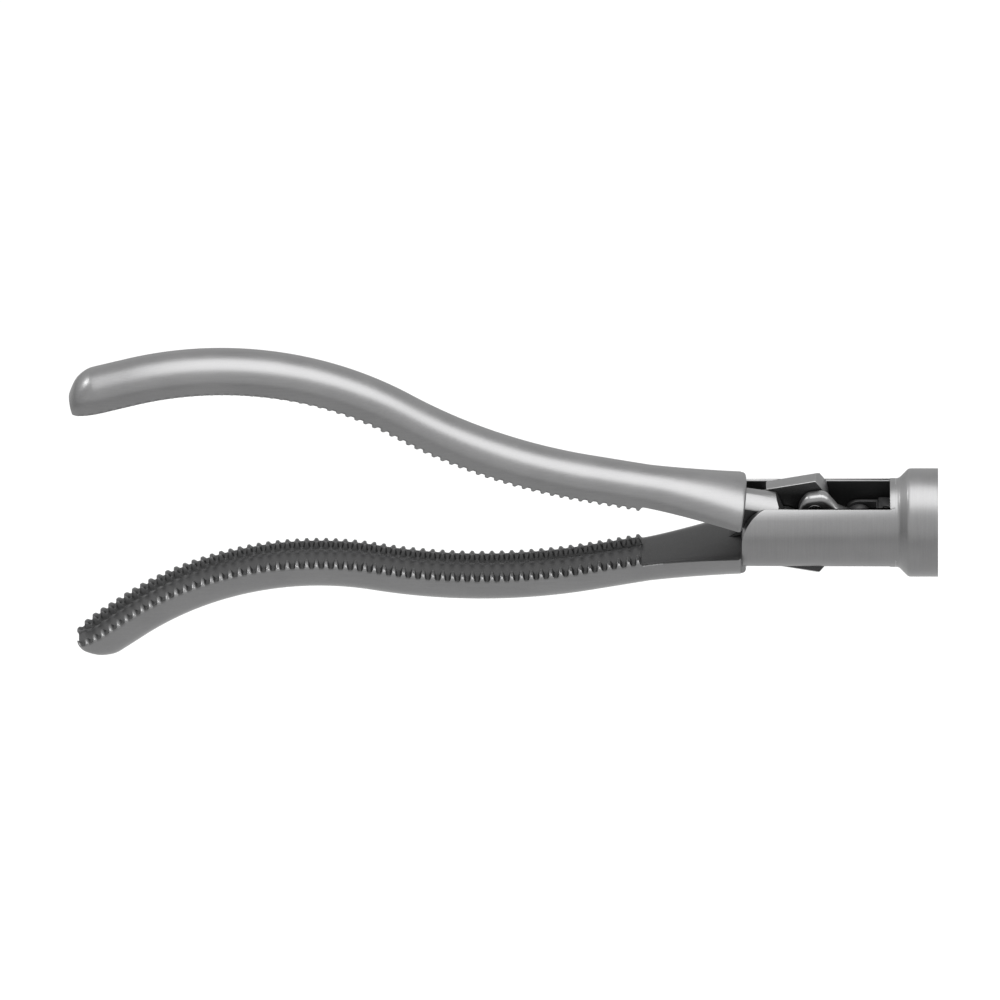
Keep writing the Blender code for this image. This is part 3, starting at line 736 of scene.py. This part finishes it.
# The part that reaches into the jaw's base
ROOT_FRONT = 7.0 * MM
ROOT_FRONT_LOW = 1.4 * MM
ROOT_FRONT_TOP = 2.5 * MM
ROOT_TOP = 3.12 * MM
ROOT_REAR_LOW = 0.15 * MM
ROOT_BAR = 3.3 * MM
ROOT_BAR_FRONT = 9 * MM
ROOT_BAR_REAR = 0.5 * MM

# The boss round the pivot and the tail behind it
BOSS = 1.85 * MM
BOSS_FRONT = 1.22 * MM
BOSS_TOP = 3.2 * MM
TAIL_ARM = 3.6 * MM
TAIL_ANGLE = 24.5
TAIL_X = TAIL_ARM * math.cos(math.radians(TAIL_ANGLE))
TAIL_Z = TAIL_ARM * math.sin(math.radians(TAIL_ANGLE))
SCALLOP = 1.75 * MM
TAIL_EYE = 2 * TAIL_Z - SCALLOP
TAIL_HEIGHT = 3.75 * MM
TAIL_CORNER = (0.75 * MM, 1.5 * MM)
TAIL_FRONT = 1.4 * MM
TAIL_BAR = 4.0 * MM
TAIL_BAR_FRONT = 0.9 * MM
TAIL_BAR_REAR = 8 * MM
print("tail's pin from the pivot in mm:", round(TAIL_X / MM, 2), round(-TAIL_Z / MM, 2))

# %% [markdown]
# ## Drawing the tang
# The pen starts inside the base, runs back over the boss, round the scallop and down the tail, and
# returns under the boss. Only the tang's edge shows in the slot. Its flat sides rub on the other tang,
# in shadow, so they get painted shade, as does the root's underside.

# %% The tang


def on_circle(radius, degrees):
    return radius * math.cos(math.radians(degrees)), radius * math.sin(math.radians(degrees))


def tang():
    """The upper jaw's tang, shut, with its bores."""
    pen = Pen(-ROOT_FRONT, ROOT_FRONT_LOW).to(-ROOT_FRONT, ROOT_FRONT_TOP)
    pen.to(-BASE_REAR, ROOT_TOP).to(-BOSS_FRONT, BOSS_TOP)
    pen.to(*on_circle(BOSS, 100)).around(0, 0, TAIL_ANGLE - 100, 20)
    pen.around(TAIL_X, TAIL_Z, 90 - TAIL_ANGLE, 18).around(TAIL_X, -TAIL_Z, -90, 20)
    rear = TAIL_X + TAIL_EYE
    corner_x, corner_z = TAIL_CORNER
    pen.to(rear, corner_z - TAIL_HEIGHT).to(rear - corner_x, -TAIL_HEIGHT).to(-TAIL_FRONT, -TAIL_HEIGHT)
    pen.to(*on_circle(BOSS, 215)).around(0, 0, -40, 12).to(-BASE_REAR, ROOT_REAR_LOW)
    plate = pen.plate(-TANG_OUTER, -TANG_INNER)
    round_bar = bar(ROOT_BAR, -ROOT_BAR_FRONT, -ROOT_BAR_REAR, "X", 180)
    round_bar = boolean(round_bar, bar(TAIL_BAR, -TAIL_BAR_FRONT, TAIL_BAR_REAR, "X", 180), "UNION")
    plate = boolean(plate, round_bar, "INTERSECT")
    plate = boolean(plate, bar(PIVOT_PIN_RADIUS + RUNNING_FIT, -THROUGH, THROUGH))
    plate = boolean(plate, bar(LINK_PIN_RADIUS + PIN_FIT, -THROUGH, THROUGH, centre=(TAIL_X, 0, -TAIL_Z)))

    def hidden(face):
        """The flat sides, and the root's underside."""
        middle = face.calc_center_median()
        below_root = middle.x < 0.2 * MM - BASE_REAR and middle.z < ROOT_FRONT_LOW + 0.1 * MM
        return abs(face.normal.y) > 0.95 or below_root

    # The flat sides and the root's underside get painted shade.
    return shade_inside(soften(plate, TANG_EDGE, 3), hidden)


print("tang thickness in mm:", round((TANG_OUTER - TANG_INNER) / MM, 2))

# %% [markdown]
# ## Joining body and tang
# The body and the tang overlap inside the base, so a Boolean union makes them one closed skin. Then the
# jaw is turned open about the pivot, as it stands in the photograph. The square corner of one ear needs
# room beside the open jaw, so a box is cut away on that side. Both bodies follow one bite line, from
# its two sides, so that the teeth meet. Only the lower tang is the upper one turned over.

# %% Both jaws
EAR_RELIEF = EAR_REACH + 0.1 * MM
RELIEF_INNER = 2.3 * MM
RELIEF_SIDE = 9 * MM
RELIEF_REAR = 8 * MM


def jaw(side):
    """One finished jaw, open. side is 1 for the upper jaw and -1 for the lower one."""
    plate = tang() if side > 0 else turned_over(tang())
    made = boolean(jaw_body(side), plate, "UNION")
    turn = Matrix.Rotation(side * OPEN_ANGLE, 3, "Y")
    bmesh.ops.rotate(made, verts=made.verts, cent=(0, 0, 0), matrix=turn)
    near, far = sorted((side * RELIEF_INNER, side * RELIEF_SIDE))
    made = boolean(made, box((-EAR_RELIEF, near, -RELIEF_SIDE), (RELIEF_REAR, far, RELIEF_SIDE)))
    bmesh.ops.translate(made, verts=made.verts, vec=PIVOT)
    return made


place("upper_jaw_fine", jaw(1), satin_jaw, "satin_steel", "upper_jaw", JAW_SMOOTH_DEGREES)
place("lower_jaw_fine", jaw(-1), satin_jaw, "satin_steel", "lower_jaw", JAW_SMOOTH_DEGREES)

# %% [markdown]
# ## The slotted barrel
# The barrel is turned from bar, bored for the rod, and slotted from the front, which leaves two ears
# that hold the pivot. Each ear keeps one square corner and has one large round nose, where the jaw's
# base swings past. It is spun from its profile, then cut in the order the workshop would cut it.

# %% Barrel values
TURNED_STEPS = 136
OVERRUN = 1 * MM
FRONT = PIVOT.x - EAR_REACH
SLOT_REAR = PIVOT.x + 9.86 * MM
SHOULDER = -COLLAR_LENGTH - 0.006 * MM
SHANK_RADIUS = 3.5 * MM
ROD_BORE = 2.5 * MM
BUSH_OUTER = 2.75 * MM
BUSH_SEAT = BUSH_OUTER + PIN_FIT
BUSH_STEP = 2.2 * MM
RING_GROOVE_REAR = 0.38 * MM
RING_GROOVE_FRONT = 0.86 * MM
RING_GROOVE_DEPTH = 0.25 * MM
PIN_SEAT = 0.9 * MM
DOWEL = centre_of("collar_dowel")
DOWEL_BORE = 0.42 * MM
DOWEL_SEAT = 3.1 * MM
EAR_EDGE = math.sqrt(BARREL_RADIUS**2 - SLOT_HALF**2)
EAR_CORNER_ROUND = 0.5 * MM
EAR_CUT_INNER = 0.05 * MM
EAR_CHAMFER = 0.34 * MM
CHAMFER_BAR_OUT = 0.6 * MM
BARREL_EDGE = 0.05 * MM
print("the barrel is", round(-FRONT / MM, 1), "mm long and its slot", round((SLOT_REAR - FRONT) / MM, 1))

# %% [markdown]
# ## Ears, bores and chamfers
# A large round nose is cut from one corner of each ear and a small one from the other. The pivot's bore
# is blind in the ear that faces the camera, as no pin head shows in the photograph. The slot's long
# edges get a wide flat chamfer: a bar with four sides, standing on a corner, cuts it in one stroke.

# %% Barrel


def nose_cutter(radius, side_y, side_z):
    """What is cut off one front corner of one ear to leave a round of this radius."""
    far = BARREL_RADIUS + OVERRUN
    corner_x, corner_z = FRONT + radius, EAR_EDGE - radius
    pen = Pen(FRONT, corner_z).around(corner_x, corner_z, -90, 40)
    pen.to(corner_x, far).to(FRONT - OVERRUN, far).to(FRONT - OVERRUN, corner_z)
    near, beyond = sorted((side_y * EAR_CUT_INNER, side_y * far))
    bm = pen.plate(near, beyond)
    bmesh.ops.scale(bm, verts=bm.verts, vec=(1, 1, side_z))
    bmesh.ops.recalc_face_normals(bm, faces=bm.faces)
    return bm


def barrel():
    """The barrel with its slot, ears, bores and chamfers."""
    pen = Pen(FRONT, ROD_BORE).to(FRONT, BARREL_RADIUS).to(SHOULDER, BARREL_RADIUS)
    pen.to(SHOULDER, SHANK_RADIUS).to(0, SHANK_RADIUS).to(0, BUSH_SEAT)
    groove = BUSH_SEAT + RING_GROOVE_DEPTH
    pen.to(-RING_GROOVE_REAR, BUSH_SEAT).to(-RING_GROOVE_REAR, groove)
    pen.to(-RING_GROOVE_FRONT, groove).to(-RING_GROOVE_FRONT, BUSH_SEAT)
    pen.to(-BUSH_STEP, BUSH_SEAT).to(-BUSH_STEP, ROD_BORE)
    bm = pen.turned(TURNED_STEPS)
    tall = BARREL_RADIUS + OVERRUN
    bm = boolean(bm, box((FRONT - OVERRUN, -SLOT_HALF, -tall), (SLOT_REAR, SLOT_HALF, tall)))
    for side in (1, -1):
        bm = boolean(bm, nose_cutter(EAR_EDGE, -side, side))
        bm = boolean(bm, nose_cutter(EAR_CORNER_ROUND, side, side))
    bm = boolean(bm, bar(PIVOT_PIN_RADIUS + PIN_FIT, -SLOT_HALF - PIN_SEAT, tall, centre=PIVOT))
    bm = boolean(bm, bar(DOWEL_BORE, DOWEL_SEAT, tall, "Z", 32, (DOWEL.x, 0, 0)))
    for side_y, side_z in ((1, 1), (1, -1), (-1, 1), (-1, -1)):
        beside = (0, side_y * (SLOT_HALF - CHAMFER_BAR_OUT), side_z * (EAR_EDGE + CHAMFER_BAR_OUT))
        chamfer = bar(2 * CHAMFER_BAR_OUT + EAR_CHAMFER, FRONT - OVERRUN, SLOT_REAR, "X", 4, beside)
        bm = boolean(bm, chamfer)
    bm = soften(bm, BARREL_EDGE, seam=SHOULDER)

    def hidden(face):
        """The slot's walls and the bore, but not the skin or the rear face."""
        middle = face.calc_center_median()
        across = middle.yz.length
        in_slot = abs(middle.y) < SLOT_HALF + 0.03 * MM and across < BARREL_RADIUS - 0.12 * MM
        in_bore = across < ROD_BORE + 0.3 * MM
        return (in_slot or in_bore) and middle.x < -0.1 * MM

    # The slot's walls and the bore get painted shade.
    return shade_inside(bm, hidden)


place("barrel_fine", barrel(), satin_turned, "satin_steel", "clevis_barrel")

# %% [markdown]
# ## The collar and its dowel
# The collar is the sleeve that matches the shaft, with a coned front down to the barrel. Two fillets
# make the cone a soft wave, as in the photograph. A turned edge always has a small round, so the spun
# profile gets its bevel, but for the seam with the barrel, before the dowel hole is drilled. The hole
# is drilled from inside and stops below the skin, because no dowel shows in the photograph.

# %% Collar
FILLET = 0.55 * MM
COLLAR_FOOT = 0.04 * MM
COLLAR_EDGE = 0.04 * MM


def collar():
    """The collar, spun from its profile, with its blind dowel hole."""
    inner = SHANK_RADIUS + PIN_FIT
    foot = COLLAR_FOOT - COLLAR_LENGTH
    pen = Pen(-COLLAR_LENGTH, inner).to(-COLLAR_LENGTH, BARREL_RADIUS).to(foot, BARREL_RADIUS)
    pen.around(foot, BARREL_RADIUS + FILLET, 45, 6)
    rise = COLLAR_RADIUS - BARREL_RADIUS - 2 * FILLET * (1 - math.cos(math.pi / 4))
    pen.to(pen.tip.co.x + rise, pen.tip.co.z + rise)
    top = pen.tip.co.x + FILLET * math.sin(math.pi / 4)
    pen.around(top, COLLAR_RADIUS - FILLET, -45, 6).to(0, COLLAR_RADIUS).to(0, inner)
    bm = soften(pen.turned(TURNED_STEPS), COLLAR_EDGE, seam=-COLLAR_LENGTH)
    top_of_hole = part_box("collar_dowel")[1].z + PIN_FIT
    return boolean(bm, bar(DOWEL_BORE, DOWEL_SEAT, top_of_hole, "Z", 32, (DOWEL.x, 0, 0)))


place("collar_fine", collar(), satin_turned, "satin_steel", "shaft_collar")

# %% [markdown]
# ## Pins
# The jaws, links and fork turn on ground pins, and a dowel and a small cross pin lock what must not
# turn. Each is a plain bar with softened ends, so one function reads its size from the CAD node's box.
# The cross pin sits deep in the shadow of the slot, so it gets painted shade.

# %% Pins
PIN_EDGE = 0.06 * MM
PINS = (
    ("collar_dowel", "Z", "collar_dowel_fine"),
    ("jaw_pivot_pin", "Y", "pivot_pin_fine"),
    ("upper_link_pin", "Y", "upper_link_pin_fine"),
    ("lower_link_pin", "Y", "lower_link_pin_fine"),
    ("fork_pin", "Y", "fork_pin_fine"),
    ("fork_lock_pin", "Z", "fork_lock_pin_fine"),
)


def pin(node, axis):
    """A ground pin in the place of its CAD node, with softened ends."""
    low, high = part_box(node)
    along, across = "XYZ".index(axis), "XYZ".index("Y" if axis == "Z" else "Z")
    radius = (high[across] - low[across]) / 2
    bm = bar(radius, low[along], high[along], axis, 64, (low + high) / 2)
    # The cross pin alone gets painted shade.
    return shade_inside(soften(bm, PIN_EDGE, 3), lambda face: node == "fork_lock_pin")


for node, axis, name in PINS:
    place(name, pin(node, axis), bright_steel, "bright_steel", node)

# %% [markdown]
# ## The links
# A link joins a jaw's tail to the fork. It has a thick head, which is the bright dome that shows in the
# slot, and a slimmer shank. A convex hull round a few short bars gives each shape, wide bevels make the
# head round, a union joins them, and two bores take the pins. The other link is this one turned over.

# %% Links
LINK_INNER = 0.10 * MM
LINK_OUTER = 1.65 * MM
LINK_LENGTH = (FORK_PIN - UPPER_TAIL_PIN).xz.length
LINK_TURN = -math.atan2(FORK_PIN.z - UPPER_TAIL_PIN.z, FORK_PIN.x - UPPER_TAIL_PIN.x)
HEAD_EDGE = 0.55 * MM
HEAD_DISCS = ((1.5 * MM, 0, 0), (1.0 * MM, *on_circle(0.6 * MM, -137)))
HEAD_DISCS += ((1.05 * MM, *on_circle(0.8 * MM, -78)), (1.0 * MM, 1.9 * MM, 0))
SHANK_EDGE = 0.2 * MM
SHANK_DISCS = ((0.95 * MM, 0, 0), (1.15 * MM, LINK_LENGTH, 0))
SHANK_SIDES = (LINK_INNER + 0.03 * MM, LINK_OUTER - 0.12 * MM)
FLAT_DEGREES = 0.5


def rounded_hull(discs, low, high, width, segments):
    """A plate round some discs (radius, x, z), with soft edges."""
    bm = bmesh.new()
    for radius, x, z in discs:
        mesh = bpy.data.meshes.new("disc")
        disc = bar(radius, low, high, sides=72, centre=(x, 0, z))
        disc.to_mesh(mesh)
        bm.from_mesh(mesh)
        bpy.data.meshes.remove(mesh)
    bmesh.ops.delete(bm, geom=bm.edges[:], context="EDGES_FACES")
    hull = bmesh.ops.convex_hull(bm, input=bm.verts[:])
    spare = set(hull["geom_interior"] + hull["geom_unused"])
    spare = [item for item in spare if isinstance(item, bmesh.types.BMVert)]
    bmesh.ops.delete(bm, geom=spare, context="VERTS")
    bmesh.ops.dissolve_limit(bm, angle_limit=math.radians(FLAT_DEGREES), verts=bm.verts, edges=bm.edges)
    return soften(bm, width, segments)


def upper_link():
    """A link drawn along X from its front eye, then turned and moved to the pins."""
    bm = rounded_hull(HEAD_DISCS, LINK_INNER, LINK_OUTER, HEAD_EDGE, 6)
    bm = boolean(bm, rounded_hull(SHANK_DISCS, *SHANK_SIDES, SHANK_EDGE, 3), "UNION")
    for x in (0, LINK_LENGTH):
        bm = boolean(bm, bar(LINK_PIN_RADIUS + PIN_FIT, -THROUGH, THROUGH, centre=(x, 0, 0)))
    bmesh.ops.rotate(bm, verts=bm.verts, cent=(0, 0, 0), matrix=Matrix.Rotation(LINK_TURN, 3, "Y"))
    bmesh.ops.translate(bm, verts=bm.verts, vec=(UPPER_TAIL_PIN.x, 0, UPPER_TAIL_PIN.z))
    return bm


link = upper_link()
place("lower_link_fine", turned_over(link), satin_jaw, "satin_steel", "lower_link")
place("upper_link_fine", link, satin_jaw, "satin_steel", "upper_link")

# %% [markdown]
# ## Fork and push rod
# The fork is turned from bar, its flanks milled flat, slotted for the links and rounded about its pin.
# The rod is pinned into it. The fork is drawn about its pin and then moved to it, and the rod takes its
# length from its node's box. A cut round the rod parts its bright rear end from its front, painted as
# shade.

# %% Fork and rod
FORK_RADIUS = 2.45 * MM
FORK_EYE = 1.25 * MM
FORK_FLAT = 1.6 * MM
FORK_THROAT = 1.55 * MM
FORK_SHOULDER = 1.75 * MM
FORK_REAR = 3.05 * MM
CHEEK_INNER = 1.75 * MM
FORK_EDGE = 0.05 * MM
ROD_RADIUS = 1.2 * MM
ROD_IN_FORK = 1.1 * MM
ROD_EDGE = 0.08 * MM
ROD_DARK_FROM = -2.5 * MM
SOCKET_RADIUS = 0.6 * MM
SOCKET_DEPTH = 2 * MM
LOCK_X = FORK_REAR - 0.55 * MM
LOCK_RADIUS = 0.3 * MM


def fork():
    """The fork with its throat, cross bore and rod socket."""
    pen = Pen(0, -FORK_EYE).around(0, 0, -180, 40).to(FORK_SHOULDER, FORK_EYE).to(FORK_SHOULDER, FORK_FLAT)
    pen.to(FORK_REAR, FORK_FLAT).to(FORK_REAR, -FORK_FLAT)
    pen.to(FORK_SHOULDER, -FORK_FLAT).to(FORK_SHOULDER, -FORK_EYE)
    bm = boolean(pen.plate(-THROUGH, THROUGH), bar(FORK_RADIUS, -THROUGH, THROUGH, "X", 120), "INTERSECT")
    bm = boolean(bm, box((-THROUGH, -CHEEK_INNER, -THROUGH), (FORK_THROAT, CHEEK_INNER, THROUGH)))
    bm = boolean(bm, bar(LINK_PIN_RADIUS + PIN_FIT, -THROUGH, THROUGH))
    bm = boolean(bm, bar(ROD_RADIUS + PIN_FIT, FORK_REAR - ROD_IN_FORK, THROUGH, "X"))
    bm = boolean(bm, bar(LOCK_RADIUS + PIN_FIT, -THROUGH, THROUGH, "Z", 32, (LOCK_X, 0, 0)))
    bm = soften(bm, FORK_EDGE)
    bmesh.ops.translate(bm, verts=bm.verts, vec=FORK_PIN)
    return bm


def rod():
    """The push rod with its cross bore and the socket in its rear end."""
    low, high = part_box("push_rod")
    bm = soften(bar(ROD_RADIUS, low.x, high.x, "X", 72), ROD_EDGE, 3)
    whole = bm.verts[:] + bm.edges[:] + bm.faces[:]
    bmesh.ops.bisect_plane(bm, geom=whole, plane_co=(ROD_DARK_FROM, 0, 0), plane_no=(1, 0, 0))
    bm = boolean(bm, bar(SOCKET_RADIUS, high.x - SOCKET_DEPTH, high.x + OVERRUN, "X", 48))
    cross = (FORK_PIN.x + LOCK_X, 0, 0)
    bm = boolean(bm, bar(LOCK_RADIUS + PIN_FIT, -THROUGH, THROUGH, "Z", 32, cross))
    # The rod's front, in the slot's shadow, gets painted shade.
    return shade_inside(bm, lambda face: face.calc_center_median().x < ROD_DARK_FROM)


# Near-black steel on the fork is painted shade.
place("fork_fine", fork(), dark_steel, "dark_steel", "rod_fork")
place("push_rod_fine", rod(), bright_steel, "bright_steel", "push_rod")

# %% [markdown]
# ## Bush and ring
# At the rear a plastic bush guides the rod, and a split ring sprung into a groove keeps it in. Both are
# spun from four-sided profiles. The ring stops short of a full turn, which leaves its split.

# %% Bush and ring
BUSH_EDGE = 0.07 * MM
RING_INNER = 2.26 * MM
RING_OUTER = 2.96 * MM
RING_EDGE = 0.05 * MM
RING_TURN = math.tau - math.radians(24)
WASHER_STEPS = 96


def washer(node, inner, outer, width, angle=math.tau):
    """A flat ring as long as its CAD node, with softened edges."""
    low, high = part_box(node)
    pen = Pen(low.x, inner).to(low.x, outer).to(high.x, outer).to(high.x, inner)
    return soften(pen.turned(WASHER_STEPS, angle), width)


bush = washer("rod_guide_bush", ROD_RADIUS + RUNNING_FIT, BUSH_OUTER, BUSH_EDGE)
place("guide_bush_fine", bush, bush_plastic, "bush_polymer", "rod_guide_bush")
ring = washer("bush_retaining_ring", RING_INNER, RING_OUTER, RING_EDGE, RING_TURN)
place("retaining_ring_fine", ring, spring_steel, "spring_steel", "bush_retaining_ring")

# %% [markdown]
# ## The floor
# The object hangs over a pale paper floor, which keeps its soft shadow. The paper also glows a little,
# so that it turns out white in the picture. Steel mirrors it, and white from below would wash out the
# jaws' undersides, so the glow is weaker for every ray that doesn't come from the camera.

# %% Floor
FLOOR_Z = -0.13
FLOOR_HALF = 3.0
PAPER = (0.6, 0.6, 0.6, 1)
GLOW = 0.36
GLOW_IN_STEEL = (0.56, 0.56, 0.56)


def stage_floor():
    bm = bmesh.new()
    bmesh.ops.create_grid(bm, x_segments=1, y_segments=1, size=FLOOR_HALF)
    bmesh.ops.translate(bm, verts=bm.verts, vec=(0, 0, FLOOR_Z))
    floor = as_object("floor", bm)
    finish = Finish("floor_paper", Roughness=0.9)
    seen = finish.node("ShaderNodeLightPath", {}, {}, "Is Camera Ray")
    finish.set(finish.shader, {"Emission Strength": GLOW, "Specular IOR Level": 0.0})
    finish.show(Base_Color=PAPER, Emission_Color=finish.mixed(seen, GLOW_IN_STEEL, (1, 1, 1)))
    floor.data.materials.append(finish.material)
    return floor


print("floor at z =", FLOOR_Z, "with", len(stage_floor().data.polygons), "face")

# %% [markdown]
# ## The room
# Polished and satin metal shows its surroundings, so the room matters as much as the lamps. The world is
# white for the camera and for reflections. As a source of light it is less than half as strong, so that
# the floor and the shaded sides don't burn out.

# %% World
FALLING_LIGHT = 0.4


def surroundings():
    world = bpy.data.worlds.new("studio")
    bpy.context.scene.world = world
    world.use_nodes = True
    nodes, links = world.node_tree.nodes, world.node_tree.links
    shown, falling = nodes["Background"], nodes.new("ShaderNodeBackground")
    for light, strength in ((shown, 1.0), (falling, FALLING_LIGHT)):
        light.inputs["Color"].default_value = (1, 1, 1, 1)
        light.inputs["Strength"].default_value = strength
    path = nodes.new("ShaderNodeLightPath")
    direct = path.outputs["Is Camera Ray"]
    for kind in ("Is Glossy Ray", "Is Transmission Ray"):
        either = nodes.new("ShaderNodeMath")
        either.operation = "MAXIMUM"
        links.new(direct, either.inputs[0])
        links.new(path.outputs[kind], either.inputs[1])
        direct = either.outputs[0]
    mix = nodes.new("ShaderNodeMixShader")
    for socket, source in zip(mix.inputs, (direct, falling.outputs[0], shown.outputs[0])):
        links.new(source, socket)
    links.new(mix.outputs[0], nodes["World Output"].inputs["Surface"])
    return world


print("world:", surroundings().name)

# %% [markdown]
# ## The lamps
# A long softbox overhead draws the bright line along the crowns of the jaws and the collar. It reaches
# further to the right than to the left, so the cone in front of the collar stays dark. A broad, weak box
# in front lifts the sides that face the camera, and a small one beyond the tips sets the spark on the
# upper jaw's nose.

# %% Softboxes
MIDDLE = Vector((-0.04038, 0, 0))
OVERHEAD = MIDDLE + Vector((0.47, -0.018, 0.55))


def softbox(name, spot, aim, size, power):
    """A rectangular lamp at a spot, turned to what it aims at."""
    light = bpy.data.lights.new(name, "AREA")
    light.shape = "RECTANGLE"
    light.size, light.size_y = size
    light.energy = power
    lamp = bpy.data.objects.new(name, light)
    bpy.context.scene.collection.objects.link(lamp)
    lamp.location = spot
    lamp.rotation_euler = (aim - spot).to_track_quat("-Z", "Y").to_euler()
    print(name, "gives", power, "W")


softbox("overhead_softbox", OVERHEAD, OVERHEAD - Vector((0, 0, 1)), size=(1.46, 0.53), power=7.8)
softbox("front_softbox", MIDDLE + Vector((0, -0.53, 0.28)), MIDDLE, size=(1.8, 0.9), power=1.2)
softbox("tip_softbox", MIDDLE + Vector((-0.53, 0.23, 0.43)), MIDDLE, size=(0.15, 0.15), power=1.1)

# %% [markdown]
# ## The camera
# The photograph looks along +Y from 31 degrees above, from so far off that the collar's edges stay
# upright, so the camera is orthographic. A thousand pixels take in 92.2 mm.

# %% Camera
ELEVATION = math.radians(31)
SPAN = 0.09217
LIFT = 2.07 * MM
DISTANCE = 0.12


def make_camera():
    camera = bpy.data.objects.new("camera", bpy.data.cameras.new("camera"))
    bpy.context.scene.collection.objects.link(camera)
    camera.data.type = "ORTHO"
    camera.data.ortho_scale = SPAN
    up = Vector((0, math.sin(ELEVATION), math.cos(ELEVATION)))
    back = Vector((0, -math.cos(ELEVATION), math.sin(ELEVATION)))
    camera.location = MIDDLE + up * LIFT + back * DISTANCE
    camera.rotation_euler = (math.pi / 2 - ELEVATION, 0, 0)
    camera.data.clip_start, camera.data.clip_end = 0.001, 20.0
    bpy.context.scene.camera = camera


make_camera()
bpy.context.scene.view_settings.view_transform = "Standard"
print("the picture is", round(SPAN / MM, 2), "mm wide")
